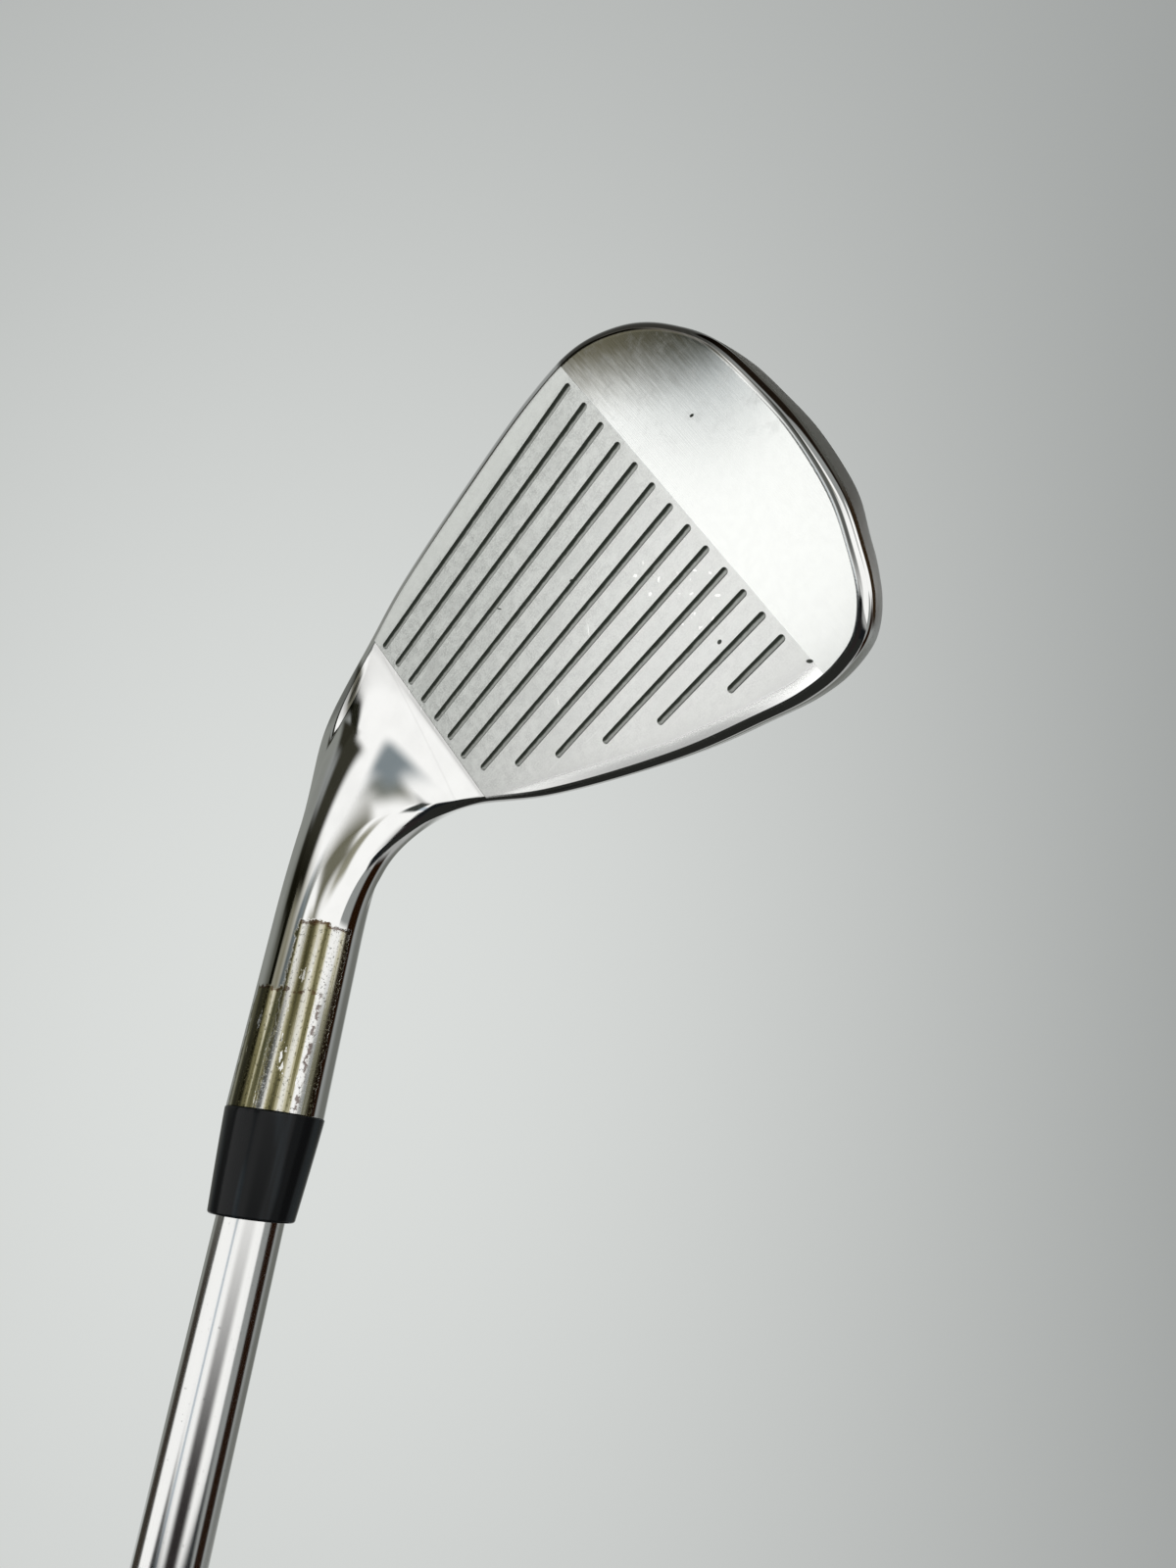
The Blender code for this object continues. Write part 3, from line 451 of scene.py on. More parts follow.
class StudioSettings(PropertyGroup):
    camera_place: FloatVectorProperty(
        name="Camera Place",
        description="Where the camera stands",
        subtype="TRANSLATION",
        unit="LENGTH",
        default=(0.151303, -0.055392, 0.868195),
    )
    camera_turn: FloatVectorProperty(
        name="Camera Turn",
        description="Which way the camera is turned",
        subtype="EULER",
        default=tuple(math.radians(turn) for turn in (111.6295, -7.5277, 53.3683)),
    )
    lens: number("Lens", "Focal length on a 36 mm sensor, in millimetres", 23.587)
    floor: shade("Floor", "Colour of the floor", (0.86, 0.87, 0.86))
    backdrop: shade("Backdrop", "Colour at the backdrop's brightest place", (0.71, 0.73, 0.715))
    backdrop_edge: shade("Backdrop Edge", "Colour far from its brightest place", (0.313, 0.326, 0.321))
    room: shade("Room Light", "Soft light that reaches the object from all round", (0.50, 0.50, 0.50))
    key_power: number("Key Light", "Power of the large soft lamp, in watts", 2.8)
    fill_power: number("Fill Light", "Power of the low soft lamp, in watts", 1.5)


SETTINGS = {
    "club_head": HeadSettings,
    "club_shaft": ShaftSettings,
    "club_ferrule": FerruleSettings,
    "club_grip": GripSettings,
    "club_hidden": HiddenSettings,
    "club_studio": StudioSettings,
}


# ---------------------------------------------------------------- curves
def smooth(t):
    """0 up to 0, 1 from 1 on, eased between."""
    t = np.clip(t, 0, 1)
    return t * t * t * (t * (6 * t - 15) + 10)


def mixed(pair, share):
    """The first of a pair at share 0, the second at share 1."""
    return pair[0] + (pair[1] - pair[0]) * share


def unit(rows):
    """Each row as a vector of length 1."""
    return rows / np.linalg.norm(rows, axis=1, keepdims=True)


def catmull(points):
    """A centripetal Catmull-Rom curve through the points, as a dense polyline."""
    points = np.asarray(points, float)
    points = np.vstack([2 * points[0] - points[1], points, 2 * points[-1] - points[-2]])
    out = []
    for p0, p1, p2, p3 in zip(points, points[1:], points[2:], points[3:]):
        t1 = np.linalg.norm(p1 - p0) ** 0.5
        t2 = t1 + np.linalg.norm(p2 - p1) ** 0.5
        t3 = t2 + np.linalg.norm(p3 - p2) ** 0.5
        t = np.linspace(t1, t2, CURVE_POINTS, endpoint=False)[:, None]
        a1 = (t1 - t) / t1 * p0 + t / t1 * p1
        a2 = (t2 - t) / (t2 - t1) * p1 + (t - t1) / (t2 - t1) * p2
        a3 = (t3 - t) / (t3 - t2) * p2 + (t - t2) / (t3 - t2) * p3
        b1 = (t2 - t) / t2 * a1 + t / t2 * a2
        b2 = (t3 - t) / (t3 - t1) * a2 + (t - t1) / (t3 - t1) * a3
        out.append((t2 - t) / (t2 - t1) * b1 + (t - t1) / (t2 - t1) * b2)
    out.append(points[-2][None])
    return np.vstack(out)


def resample(line, shares):
    """Points of a polyline at shares (0 to 1) of its length."""
    run = np.concatenate([[0], np.cumsum(np.linalg.norm(np.diff(line, axis=0), axis=1))])
    at = np.asarray(shares) * run[-1]
    return np.stack([np.interp(at, run, line[:, k]) for k in range(line.shape[1])], -1)


def outward_normals(line):
    along = unit(np.gradient(line, axis=0))
    return np.stack([along[:, 1], -along[:, 0]], -1)


def directions(normals):
    """The direction that each normal faces: -90 degrees at the sole, 0 at the toe, 90 at the topline."""
    facing = np.arctan2(normals[:, 1], normals[:, 0])
    return np.where(facing < FACING_WRAP, facing + 2 * math.pi, facing)


def share_between(ends, values):
    """0 at the first end, 1 at the second, eased."""
    return smooth((ends[0] - values) / (ends[0] - ends[1]))


def arc(centre, radius, start, end):
    """(radius, z) points of an arc, angles in degrees from the outward direction."""
    angles = np.radians(np.linspace(start, end, ARC_STEPS + 1))
    return [(centre[0] + radius * math.cos(a), centre[1] + radius * math.sin(a)) for a in angles]


# ---------------------------------------------------------------- meshes
def strip(bm, near, far):
    """Faces between two rows of vertices."""
    for a, b, c, d in zip(near, near[1:], far[1:], far):
        bm.faces.new((a, b, c, d))


def mesh_from(bm, name):
    bmesh.ops.recalc_face_normals(bm, faces=bm.faces)
    mesh = bpy.data.meshes.new(name)
    bm.to_mesh(mesh)
    bm.free()
    return mesh


def link(name, mesh):
    obj = bpy.data.objects.new(name, mesh)
    bpy.context.scene.collection.objects.link(obj)
    return obj


def apply_modifiers(obj):
    """Makes an object's modifiers part of its mesh."""
    graph = bpy.context.evaluated_depsgraph_get()
    mesh = bpy.data.meshes.new_from_object(obj.evaluated_get(graph), depsgraph=graph)
    obj.modifiers.clear()
    obj.data = mesh


def turned_mesh(name, profile, steps, relief):
    """A closed (radius, z) profile turned about Z. relief(z, turn) sinks the surface by metres."""
    bm = bmesh.new()
    turns = np.linspace(0, 2 * math.pi, steps, endpoint=False)
    rings = []
    for radius, z in profile:
        radii = radius - (relief(z, turns) if relief else np.zeros(steps))
        rings.append([bm.verts.new((r * math.cos(a), r * math.sin(a), z)) for r, a in zip(radii, turns)])
    for near, far in zip(rings, rings[1:] + rings[:1]):
        strip(bm, near + near[:1], far + far[:1])
    return mesh_from(bm, name)


def place(obj, node, slot):
    """Gives a piece its shading, and puts it in its CAD node's place."""
    obj.data.shade_smooth()
    obj.data.set_sharp_from_angle(angle=SHARP_ANGLE)
    weigh = obj.modifiers.new("Weighted Normals", "WEIGHTED_NORMAL")
    weigh.keep_sharp = True
    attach(obj, BODY)
    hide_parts(node)


def turned_piece(node, slot, material, profile, steps=ROUND_STEPS, relief=None):
    """A turned piece with its finish, in its CAD node's place."""
    name = node + "_detail"
    obj = link(name, turned_mesh(name, profile, steps, relief))
    obj.data.materials.append(material)
    place(obj, node, slot)


# ---------------------------------------------------------------- head
class Head:
    """The lofted head: the flat face's outline, the edge's sections round it, the back and the neck."""

    def __init__(self, settings):
        self.set = settings
        self.toe_wards = np.array([1.0, 0, 0])
        sin_loft, cos_loft = math.sin(settings.loft), math.cos(settings.loft)
        self.face_up = np.array([0, -sin_loft, cos_loft])
        self.face_in = np.array([0, -cos_loft, -sin_loft])
        self.face_origin = np.array([0, FACE_FORWARD, FACE_RISE])
        sin_lie, cos_lie = math.sin(settings.lie), math.cos(settings.lie)
        self.shaft_up = self.to_face_axes(np.array([-cos_lie, 0, sin_lie]))
        self.shaft_toe = self.to_face_axes(np.array([sin_lie, 0, cos_lie]))
        self.shaft_target = self.to_face_axes(np.array([0, 1.0, 0]))
        self.ground = self.to_face_axes(-self.face_origin)
        self.top = settings.club_length - HOSEL_TOP_Z

    def to_face_axes(self, vector):
        """A vector of the address frame, turned to the face's axes."""
        return np.array([vector @ self.toe_wards, vector @ self.face_up, vector @ self.face_in])

    def matrix(self):
        """The face's axes to the world."""
        sin_lie, cos_lie = math.sin(self.set.lie), math.cos(self.set.lie)
        address = Matrix(
            (
                (sin_lie, 0, cos_lie, 0),
                (0, -1, 0, 0),
                (cos_lie, 0, -sin_lie, self.set.club_length),
                (0, 0, 0, 1),
            )
        )
        columns = np.column_stack([self.toe_wards, self.face_up, self.face_in, self.face_origin])
        face = Matrix([list(row) for row in columns] + [[0, 0, 0, 1]])
        return address @ face

    def outline(self):
        """The flat face's edge, heel to toe end along the bottom and back along the top."""
        whole = np.vstack([LOWER_OUTLINE, UPPER_OUTLINE[1:]])
        dense = catmull(whole * [self.set.blade_length, self.set.face_height])
        tip = CURVE_POINTS * (len(LOWER_OUTLINE) - 1)
        even = np.linspace(0, 1, OUTLINE_HALF + 1)
        shares = mixed((np.sin(even * math.pi / 2), even), OUTLINE_EVENNESS)
        lower = resample(dense[: tip + 1], shares)
        upper = resample(dense[tip:], 1 - shares[::-1])
        return np.vstack([lower, upper[1:]]) + [self.set.face_heel, 0]

    def topline(self, n, u):
        """Nodes for the height of the topline at u: the least of the lines along its rising points."""
        scale = np.array([self.set.blade_length, self.set.face_height])
        points = np.array(UPPER_OUTLINE[TOP_POINTS]) * scale + [self.set.face_heel, 0]
        height = points[:, 1].max()
        for right, left in zip(points, points[1:]):
            slope = (right[1] - left[1]) / (right[0] - left[0])
            height = n.math("MINIMUM", n.plus(n.times(u, slope), left[1] - slope * left[0]), height)
        return height

    def sections(self, line):
        """For each outline point, the edge from the face round to the back, as (u, v, d)."""
        normals = outward_normals(line)
        facing = np.clip(directions(normals), EDGE_FACING[0], EDGE_FACING[-1])
        blend = np.interp(facing, EDGE_FACING, np.arange(len(EDGE_FACING)))
        low = np.minimum(blend.astype(int), len(EDGE_FACING) - 2)
        part = blend - low
        part = mixed((part, part * part * (3 - 2 * part)), EDGE_EASE)

        def keyed(values):
            values = np.asarray(values)
            return mixed((values[low], values[low + 1]), part)

        turn = keyed(EDGE_TURN)
        inset = keyed(FACE_INSET)
        line = line - normals * inset[:, None]
        camber = keyed(WALL_TURN)
        towards_toe = smooth((line[:, 0] - self.set.face_heel) / (SOLE_WIDENS * self.set.blade_length))
        sole_side = share_between(SOLE_FACING, facing)
        narrowing = 1 - sole_side * (1 - SOLE_HEEL_SHARE) * (1 - towards_toe)
        wall = keyed((self.set.sole_width, *WALL_WIDTH)) * narrowing - inset
        arcs = (
            (turn, keyed(EDGE_RADIUS) + inset / np.sin(turn), FRONT_SEGMENTS),
            (camber, wall / camber, WALL_SEGMENTS),
            (math.pi - turn - camber, keyed(BACK_RADIUS), EDGE_SEGMENTS),
        )
        out = np.zeros(len(line))
        depth = np.zeros(len(line))
        heading = np.zeros(len(line))
        points = [np.column_stack([line, depth])]
        for bend, arc_radius, segments in arcs:
            step = bend / segments
            chord = 2 * arc_radius * np.sin(step / 2)
            for _ in range(segments):
                out = out + chord * np.cos(heading + step / 2)
                depth = depth + chord * np.sin(heading + step / 2)
                heading = heading + step
                points.append(np.column_stack([line + normals * out[:, None], depth]))
        return np.stack(points, 1)

    def back(self, back_edge):
        """The back inside its edge: loops that follow the edge, then rows across what is left."""
        last = len(back_edge) - 1
        normals = outward_normals(back_edge[:, :2])
        sole_side = share_between(MUSCLE_FACING, directions(normals))
        flat = mixed((self.set.rim_width, MUSCLE_FLAT), sole_side)
        slope = mixed((RIM_SLOPE, MUSCLE_SLOPE), sole_side)
        fine = resample(np.column_stack([back_edge, flat, slope]), np.linspace(0, 1, BACK_SAMPLES))
        raised = fine[:, 2] - self.set.blade_thickness

        def settled(points):
            apart = np.linalg.norm(points[:, None, :2] - fine[None, :, :2], axis=2)
            left = raised * (1 - smooth((apart - fine[:, 3]) / fine[:, 4]))
            weight = apart**-BACK_FOCUS
            thickness = self.set.blade_thickness + (left * weight).sum(axis=1) / weight.sum(axis=1)
            return np.column_stack([points[:, :2], thickness])

        loops = []
        ends = (BACK_FIRST_LOOP * flat, flat + RIM_SLOPE)
        for step in range(1, BACK_LOOPS * FINER + 1):
            loop = step / FINER
            inset = loop * ends[0] if loop < 1 else mixed(ends, (loop - 1) / (BACK_LOOPS - 1))
            loops.append(settled(back_edge[:, :2] - normals * inset[:, None]))
        inner = loops[-1]
        shares = np.linspace(0, 1, BACK_ROW_SEGMENTS + 1)[1:-1, None] ** BACK_ROW_GATHER
        rows = [settled(mixed((inner[i], inner[last - i]), shares)) for i in range(last // 2)]
        return loops, rows

    def neck(self, ring, leave):
        """Rings from the heel end of the blade to the hosel's end, then down into its bore."""
        corner = np.cumsum([0, FACE_SEGMENTS, EDGE_POINTS, FACE_SEGMENTS, EDGE_POINTS])
        turns = np.interp(np.arange(len(ring)), corner, NECK_TURNS)[:, None]
        around = np.cos(turns) * self.shaft_target + np.sin(turns) * self.shaft_toe

        def at(height, radius):
            return self.ground + height * self.shaft_up + radius * around

        end = at(self.top - HOSEL_LENGTH, HOSEL_RADIUS - HOSEL_WAIST_INSET)
        reach = np.linalg.norm(end - ring, axis=1, keepdims=True)
        heel_side = (1 - np.sin(turns)) / 2
        face_side = np.clip(np.cos(turns), 0, 1) ** 2
        start_share = mixed((mixed(NECK_START_PULL, heel_side), NECK_FACE_PULL[0]), face_side)
        end_share = mixed((mixed(NECK_END_PULL, heel_side), NECK_FACE_PULL[1]), face_side)
        start_pull = leave * reach * start_share
        end_pull = self.shaft_up * reach * end_share
        rings = []
        for t in np.linspace(0, 1, NECK_SEGMENTS + 1)[1:]:
            rail = mixed((ring, end), t * t * (3 - 2 * t))
            rings.append(rail + t * (1 - t) ** 2 * start_pull + t * t * (t - 1) * end_pull)
        for share in (1 / 3, 2 / 3):
            height = self.top - mixed((HOSEL_LENGTH, HOSEL_CHAMFER), share)
            rings.append(at(height, mixed((HOSEL_RADIUS - HOSEL_WAIST_INSET, HOSEL_RADIUS), share)))
        turn_in = np.linspace(0, math.pi / 2, CHAMFER_POINTS)
        for a in turn_in:
            height = self.top - HOSEL_CHAMFER * (1 - math.sin(a))
            rings.append(at(height, HOSEL_RADIUS - HOSEL_CHAMFER * (1 - math.cos(a))))
        for a in turn_in[::-1]:
            height = self.top - HOSEL_CHAMFER / 2 * (1 - math.sin(a))
            rings.append(at(height, BORE_RADIUS + HOSEL_CHAMFER / 2 * (1 - math.cos(a))))
        rings.append(at(self.top - BORE_DEPTH, BORE_RADIUS))
        return rings

    def mesh(self):
        """The whole head as one closed mesh in the face's axes."""
        sections = self.sections(self.outline())
        last = len(sections) - 1
        bm = bmesh.new()

        def verts_of(points):
            return [bm.verts.new(p) for p in points]

        edge = [verts_of(section) for section in sections]
        for near, far in zip(edge, edge[1:]):
            strip(bm, near, far)
        up = np.linspace(0, 1, FACE_SEGMENTS + 1)[1:-1, None]
        heel_line = verts_of(mixed((sections[0][0], sections[-1][0]), up))
        bm.faces.new([section[0] for section in edge] + heel_line[::-1])

        back_loops, back_rows = self.back(sections[:, -1])
        loops = [[section[-1] for section in edge]] + [verts_of(loop) for loop in back_loops]
        for outer, inner in zip(loops, loops[1:]):
            strip(bm, outer, inner)
        inner = loops[-1]
        rows = [[inner[i], *verts_of(row), inner[last - i]] for i, row in enumerate(back_rows)]
        for near, far in zip(rows, rows[1:]):
            strip(bm, near, far)
        for a, b in zip(rows[-1], rows[-1][1:]):
            bm.faces.new((a, b, inner[last // 2]))

        down_back = [loop[-1] for loop in loops[1:]] + rows[0][-2:0:-1] + [loop[0] for loop in loops[:0:-1]]
        ring = [edge[0][0], *heel_line, *edge[-1], *down_back, *edge[0][:0:-1]]
        low_leave = unit(sections[0] - sections[1])
        high_leave = unit(sections[-1] - sections[-2])
        up_the_edge = unit(-np.gradient(sections[0], axis=0))
        fan = NECK_FAN * np.clip(1 - np.linspace(0, 1 / NECK_FAN_SHARE, len(low_leave)), 0, 1)[:, None]
        low_leave = unit(low_leave + fan * up_the_edge)
        face_leave = mixed((low_leave[0], high_leave[0]), up)
        back_leave = mixed((high_leave[-1], low_leave[-1]), up)
        leave = np.vstack([low_leave[:1], face_leave, high_leave, back_leave, low_leave[:0:-1]])
        for points in self.neck(np.array([v.co for v in ring]), leave):
            new_ring = verts_of(points)
            strip(bm, ring + ring[:1], new_ring + new_ring[:1])
            ring = new_ring
        bm.faces.new(ring)
        return mesh_from(bm, "club_head_body")

    def score_lines(self):
        """Heel end, toe end and height of each score line: the upper ones stop short of the topline."""
        line = self.outline()
        top = line[len(line) // 2 :]
        toe = self.set.score_heel + self.set.score_length
        tries = np.linspace(self.set.score_heel, toe, SCORE_TRIES)
        found = []
        for i in range(self.set.score_count):
            v = SCORE_FIRST + i * self.set.score_pitch
            ends = np.column_stack([tries, np.full_like(tries, v)])
            apart = np.linalg.norm(top[None] - ends[:, None], axis=2).min(axis=1)
            close = np.flatnonzero(apart < SCORE_MARGIN)
            found.append((tries[close[-1] + 1] if len(close) else self.set.score_heel, toe, v))
        return found

    def slot_ring(self, heel, toe, v, half_width, depth):
        """(u, v, d) points round a slot with round ends."""
        points = []
        turn = np.linspace(-math.pi / 2, math.pi / 2, SCORE_END_STEPS + 1)
        for side, end in ((1, toe), (-1, heel)):
            centre = end - side * self.set.score_width / 2
            for a in turn:
                along, up = side * half_width * math.cos(a), side * half_width * math.sin(a)
                points.append((centre + along, v + up, depth))
        return points

    def slots_mesh(self):
        """One long slot for each score line: a small rounded lip, drafted sides and a flat bottom."""
        half, floor = self.set.score_width / 2, self.set.score_depth
        side = [(half + SCORE_LIP, -SCORE_LIP * 2), (half + SCORE_LIP, 0)]
        for a in SCORE_LIP_TURNS:
            side.append((half + SCORE_LIP * (1 - math.sin(a)), SCORE_LIP * (1 - math.cos(a))))
        side += [(half - SCORE_DRAFT * leaned, floor * down) for leaned, down in SCORE_SIDE]
        bm = bmesh.new()
        for heel, toe, v in self.score_lines():
            rings = []
            for half_width, depth in side:
                points = self.slot_ring(heel, toe, v, half_width, depth)
                rings.append([bm.verts.new(p) for p in points])
            for near, far in zip(rings, rings[1:]):
                strip(bm, near + near[:1], far + far[:1])
            bm.faces.new(rings[0])
            bm.faces.new(rings[-1])
        return mesh_from(bm, "score_slots")


# ---------------------------------------------------------------- finishes
class Nodes:
    """Adds nodes to one tree and joins them up. A share goes from 0 to 1."""

    def __init__(self, tree):
        self.tree = tree

    def add(self, kind, inputs=(), **settings):
        node = self.tree.nodes.new("ShaderNode" + kind)
        for name, value in settings.items():
            setattr(node, name, value)
        self.give(node, inputs if isinstance(inputs, dict) else dict(enumerate(inputs)))
        return node

    def give(self, node, inputs):
        """Joins or sets some of a node's inputs."""
        for key, value in inputs.items():
            socket = node.inputs[key]
            if isinstance(value, bpy.types.NodeSocket):
                self.tree.links.new(value, socket)
            elif socket.type == "RGBA":
                socket.default_value = (*value, 1)
            else:
                socket.default_value = value

    def math(self, operation, *values, clamp=False):
        return self.add("Math", values, operation=operation, use_clamp=clamp).outputs[0]

    def chain(self, operation, values):
        return reduce(lambda first, second: self.math(operation, first, second), values)

    def plus(self, *values):
        return self.chain("ADD", values)

    def minus(self, first, second):
        return self.math("SUBTRACT", first, second)

    def times(self, *values):
        return self.chain("MULTIPLY", values)

    def either(self, *shares):
        return self.chain("MAXIMUM", shares)

    def dot(self, first, second):
        node = self.add("VectorMath", (first, second), operation="DOT_PRODUCT")
        return node.outputs["Value"]

    def step(self, value, low, high):
        """0 below low, 1 above high, eased between. It falls where low is the larger."""
        inputs = {"Value": value, "From Min": low, "From Max": high}
        return self.add("MapRange", inputs, interpolation_type="SMOOTHSTEP").outputs[0]

    def band(self, value, low, high, soft):
        """1 between low and high, 0 outside, with soft edges."""
        rise = self.step(value, low - soft, low + soft)
        return self.times(rise, self.step(value, high + soft, high - soft))

    def spot(self, x, y, centre, size, turn):
        """1 in an oval of the given half length and half width, turned by an angle, 0 outside."""
        across, along = self.minus(x, centre[0]), self.minus(y, centre[1])
        c, s = math.cos(turn), math.sin(turn)
        first = self.plus(self.times(across, c / size[0]), self.times(along, s / size[0]))
        second = self.plus(self.times(across, -s / size[1]), self.times(along, c / size[1]))
        away = self.plus(self.times(first, first), self.times(second, second))
        return self.step(away, 1.0, 0.5)

    def noise(self, where, scale, detail=2.0, roughness=0.5):
        inputs = {"Vector": where, "Scale": scale, "Detail": detail, "Roughness": roughness}
        return self.add("TexNoise", inputs).outputs["Fac"]

    def drift(self, noise, amount):
        """Noise moved to lie about zero and scaled."""
        return self.times(self.minus(noise, 0.5), amount)

    def grained(self, where, scales, detail=2.0, roughness=0.5, turn=(0, 0, 0)):
        """Noise with its own scale along each axis, so that it is drawn out into streaks or rings."""
        inputs = {"Vector": where, "Scale": scales, "Rotation": turn}
        return self.noise(self.add("Mapping", inputs).outputs[0], 1.0, detail, roughness)

    def colour(self, share, first, second):
        node = self.add("Mix", data_type="RGBA")
        self.give(node, {0: share, 6: first, 7: second})
        return node.outputs[2]

    def blend(self, share, first, second):
        node = self.add("Mix", data_type="FLOAT")
        self.give(node, {0: share, 2: first, 3: second})
        return node.outputs[0]

    def layers(self, base, *layers, mix=None):
        """The base with each (share, colour or value) laid over it in turn."""
        for share, over in layers:
            base = (mix or self.colour)(share, base, over)
        return base

    def bump(self, height, strength, distance):
        inputs = {"Height": height, "Strength": strength, "Distance": distance}
        return self.add("Bump", inputs).outputs[0]

    def parts(self, where):
        return where, self.add("SeparateXYZ", {"Vector": where}).outputs

    def object_axes(self):
        return self.parts(self.add("TexCoord").outputs["Object"])

    def face_axes(self):
        return self.parts(self.add("Attribute", attribute_name=FACE_AXES).outputs["Vector"])


def finish(name):
    """A new material: its nodes and its shader."""
    made = bpy.data.materials.new(name)
    made.use_nodes = True
    return made, Nodes(made.node_tree), made.node_tree.nodes["Principled BSDF"]


def tone(colour, share):
    """The same colour, scaled."""
    return tuple(share * c for c in colour)


class HeadFinish:
    """Polished chrome with a blasted hitting area, a satin toe, a satin cavity and a worn hosel, with
    painted light, shade and reflections.
    """

    def __init__(self, head):
        self.head = head
        self.set = head.set
        self.made, self.n, self.shader = finish("head_chrome")
        n = self.n
        self.where, (self.u, self.v, self.d) = n.face_axes()
        self.place, (self.x, self.y, self.z) = n.object_axes()
        self.areas()
        self.wear()
        self.fill()

    def areas(self):
        """Shares that say where the flat face's areas and the back's satin lie."""
        n = self.n
        self.heel = self.set.score_heel - HIT_MARGIN
        self.toe = self.set.score_heel + self.set.score_length + HIT_MARGIN
        self.on_face = n.band(self.d, *FACE_SKIN, FACE_SKIN_SOFT)
        self.hit = n.times(n.band(self.u, self.heel, self.toe, AREA_SOFT), self.on_face)
        past_toe = n.step(self.u, self.toe - AREA_SOFT, self.toe + AREA_SOFT)
        self.toe_side = n.times(past_toe, self.on_face)
        self.behind = n.times(n.step(self.d, *CAVITY_DEPTH), n.step(self.z, *CAVITY_RISE))
        below_top = n.minus(self.head.topline(n, self.u), self.v)
        self.top_light = n.step(below_top, *TOP_LIGHT)

    def wear(self):
        """Noises that several finishes share, the toe's stain, and the marks and nicks on the face."""
        n, u, v, where = self.n, self.u, self.v, self.where
        self.turn = n.math("ARCTAN2", self.y, self.x)
        self.bands = n.grained(self.place, (900, 900, 24), 3, 0.6)
        self.grain = n.noise(where, 3800, 3, 0.65)
        self.mottle = n.noise(where, 700, 4, 0.65)
        self.streaks = n.grained(where, (9000, 120, 400), 3, 0.6)
        inwards = n.plus(
            n.times(n.minus(u, STAIN_EDGE[0]), math.cos(STAIN_TURN)),
            n.times(n.minus(v, STAIN_EDGE[1]), math.sin(STAIN_TURN)),
        )
        wander = n.drift(n.grained(where, (2600, 260, 400), 4, 0.65, (0, 0, -0.4)), STAIN_WANDER)
        stained = n.step(n.plus(inwards, wander), *STAIN_FADE)
        self.stained = n.times(stained, n.step(v, *STAIN_END))
        smudged = n.step(n.noise(where, 420, 5, 0.75), 0.50, 0.66)
        self.smudge = n.times(smudged, n.step(inwards, *SMUDGE_FADE))
        self.marks = n.times(n.either(*(n.spot(u, v, *mark) for mark in DARK_MARKS)), self.on_face)
        chipped = n.times(n.band(u, *CHIPPED_U), n.band(v, *CHIPPED_V))
        chips = n.step(n.noise(where, 950), *(n.blend(chipped, *levels) for levels in CHIP_LEVELS))
        self.nicks = n.either(*(n.spot(u, v, *nick) for nick in NICKS), chips)

    def blasted(self):
        """Grey sand-blasted metal, with painted light brighter up the face, a painted highlight below the
        lowest score line, and polished along the topline.
        """
        n, v, where, sand = self.n, self.v, self.where, self.set.blasted
        clouds = n.noise(where, 120)
        rubbed = n.grained(where, (160, 2600, 400), 3, 0.6, (0, 0, 0.16))
        painted_light_up = n.step(n.plus(v, n.times(self.u, PAINTED_LIGHT_TOE_SHARE)), *PAINTED_LIGHT_RANGE)
        return n.layers(
            n.colour(n.step(self.mottle, 0.30, 0.70), tone(sand, 0.74), tone(sand, 1.06)),
            (n.times(n.step(self.grain, 0.46, 0.60), 0.75), tone(sand, 1.16)),
            (n.times(n.step(clouds, 0.45, 0.70), 0.5), tone(sand, 0.86)),
            (n.times(n.step(rubbed, 0.60, 0.72), 0.45), tone(sand, 1.35)),
            # Painted highlight: a brighter strip below the lowest score line.
            (n.times(n.step(v, SCORE_FIRST, SCORE_FIRST - SOLE_PAINTED_HIGHLIGHT), 0.7), tone(sand, 1.18)),
            # Painted light: the face brighter up and towards the toe.
            (n.times(painted_light_up, 0.60), PAINTED_LIGHT_METAL),
            (self.top_light, POLISHED_METAL),
        )

    def satin(self):
        """Brushed metal, tarnished at the toe's corner."""
        n, satin = self.n, self.set.satin
        return n.layers(
            n.colour(n.step(self.streaks, 0.3, 0.7), tone(satin, 0.975), satin),
            (n.step(self.mottle, 0.60, 0.40), tone(satin, 0.97)),
            (self.stained, self.set.toe_stain),
            (n.times(self.smudge, 0.22), tone(satin, 0.35)),
            (n.spot(self.u, self.v, *PIT), self.set.dirt_and_shade),
        )

    def worn(self):
        """The hosel's worn patches: brass and olive bands, painted reflections in bright and dark streaks,
        dark lines at the tops.
        """
        n, z, where, olive = self.n, self.z, self.where, self.set.olive_tarnish_and_reflection
        ragged = n.drift(n.noise(where, 700, 4, 0.7), WORN_RAGGED)
        height = n.plus(z, ragged)
        ragged_turn = n.plus(self.turn, n.times(ragged, WORN_RAGGED_TURN))
        patches = []
        for top, turns in zip(WORN_TOPS, WORN_TURNS):
            below = n.step(height, top + WORN_SOFT, top - WORN_SOFT)
            patches.append(n.times(below, n.band(ragged_turn, *turns, WORN_TURN_SOFT)))
        self.patches = n.either(*patches)
        self.pits = n.step(n.noise(where, 2600, 4, 0.75), 0.58, 0.66)
        wavy_turn = n.plus(self.turn, n.times(self.bands, 0.05))
        lightness = n.layers(
            n.blend(n.step(self.bands, 0.36, 0.66), 0.12, 0.62),
            # Painted reflections: bright and dark streaks by turn round the hosel.
            *(
                (n.times(n.band(wavy_turn, place - half, place + half, 0.05), 0.8), bright)
                for place, half, bright in WORN_PAINTED_REFLECTIONS
            ),
            mix=n.blend,
        )
        plating = n.grained(self.place, (700, 700, 245), 4, 0.7)
        plating_left = n.times(n.step(plating, 0.58, 0.62), n.step(self.bands, 0.42, 0.52))
        lightness = n.either(lightness, n.times(plating_left, 0.9))

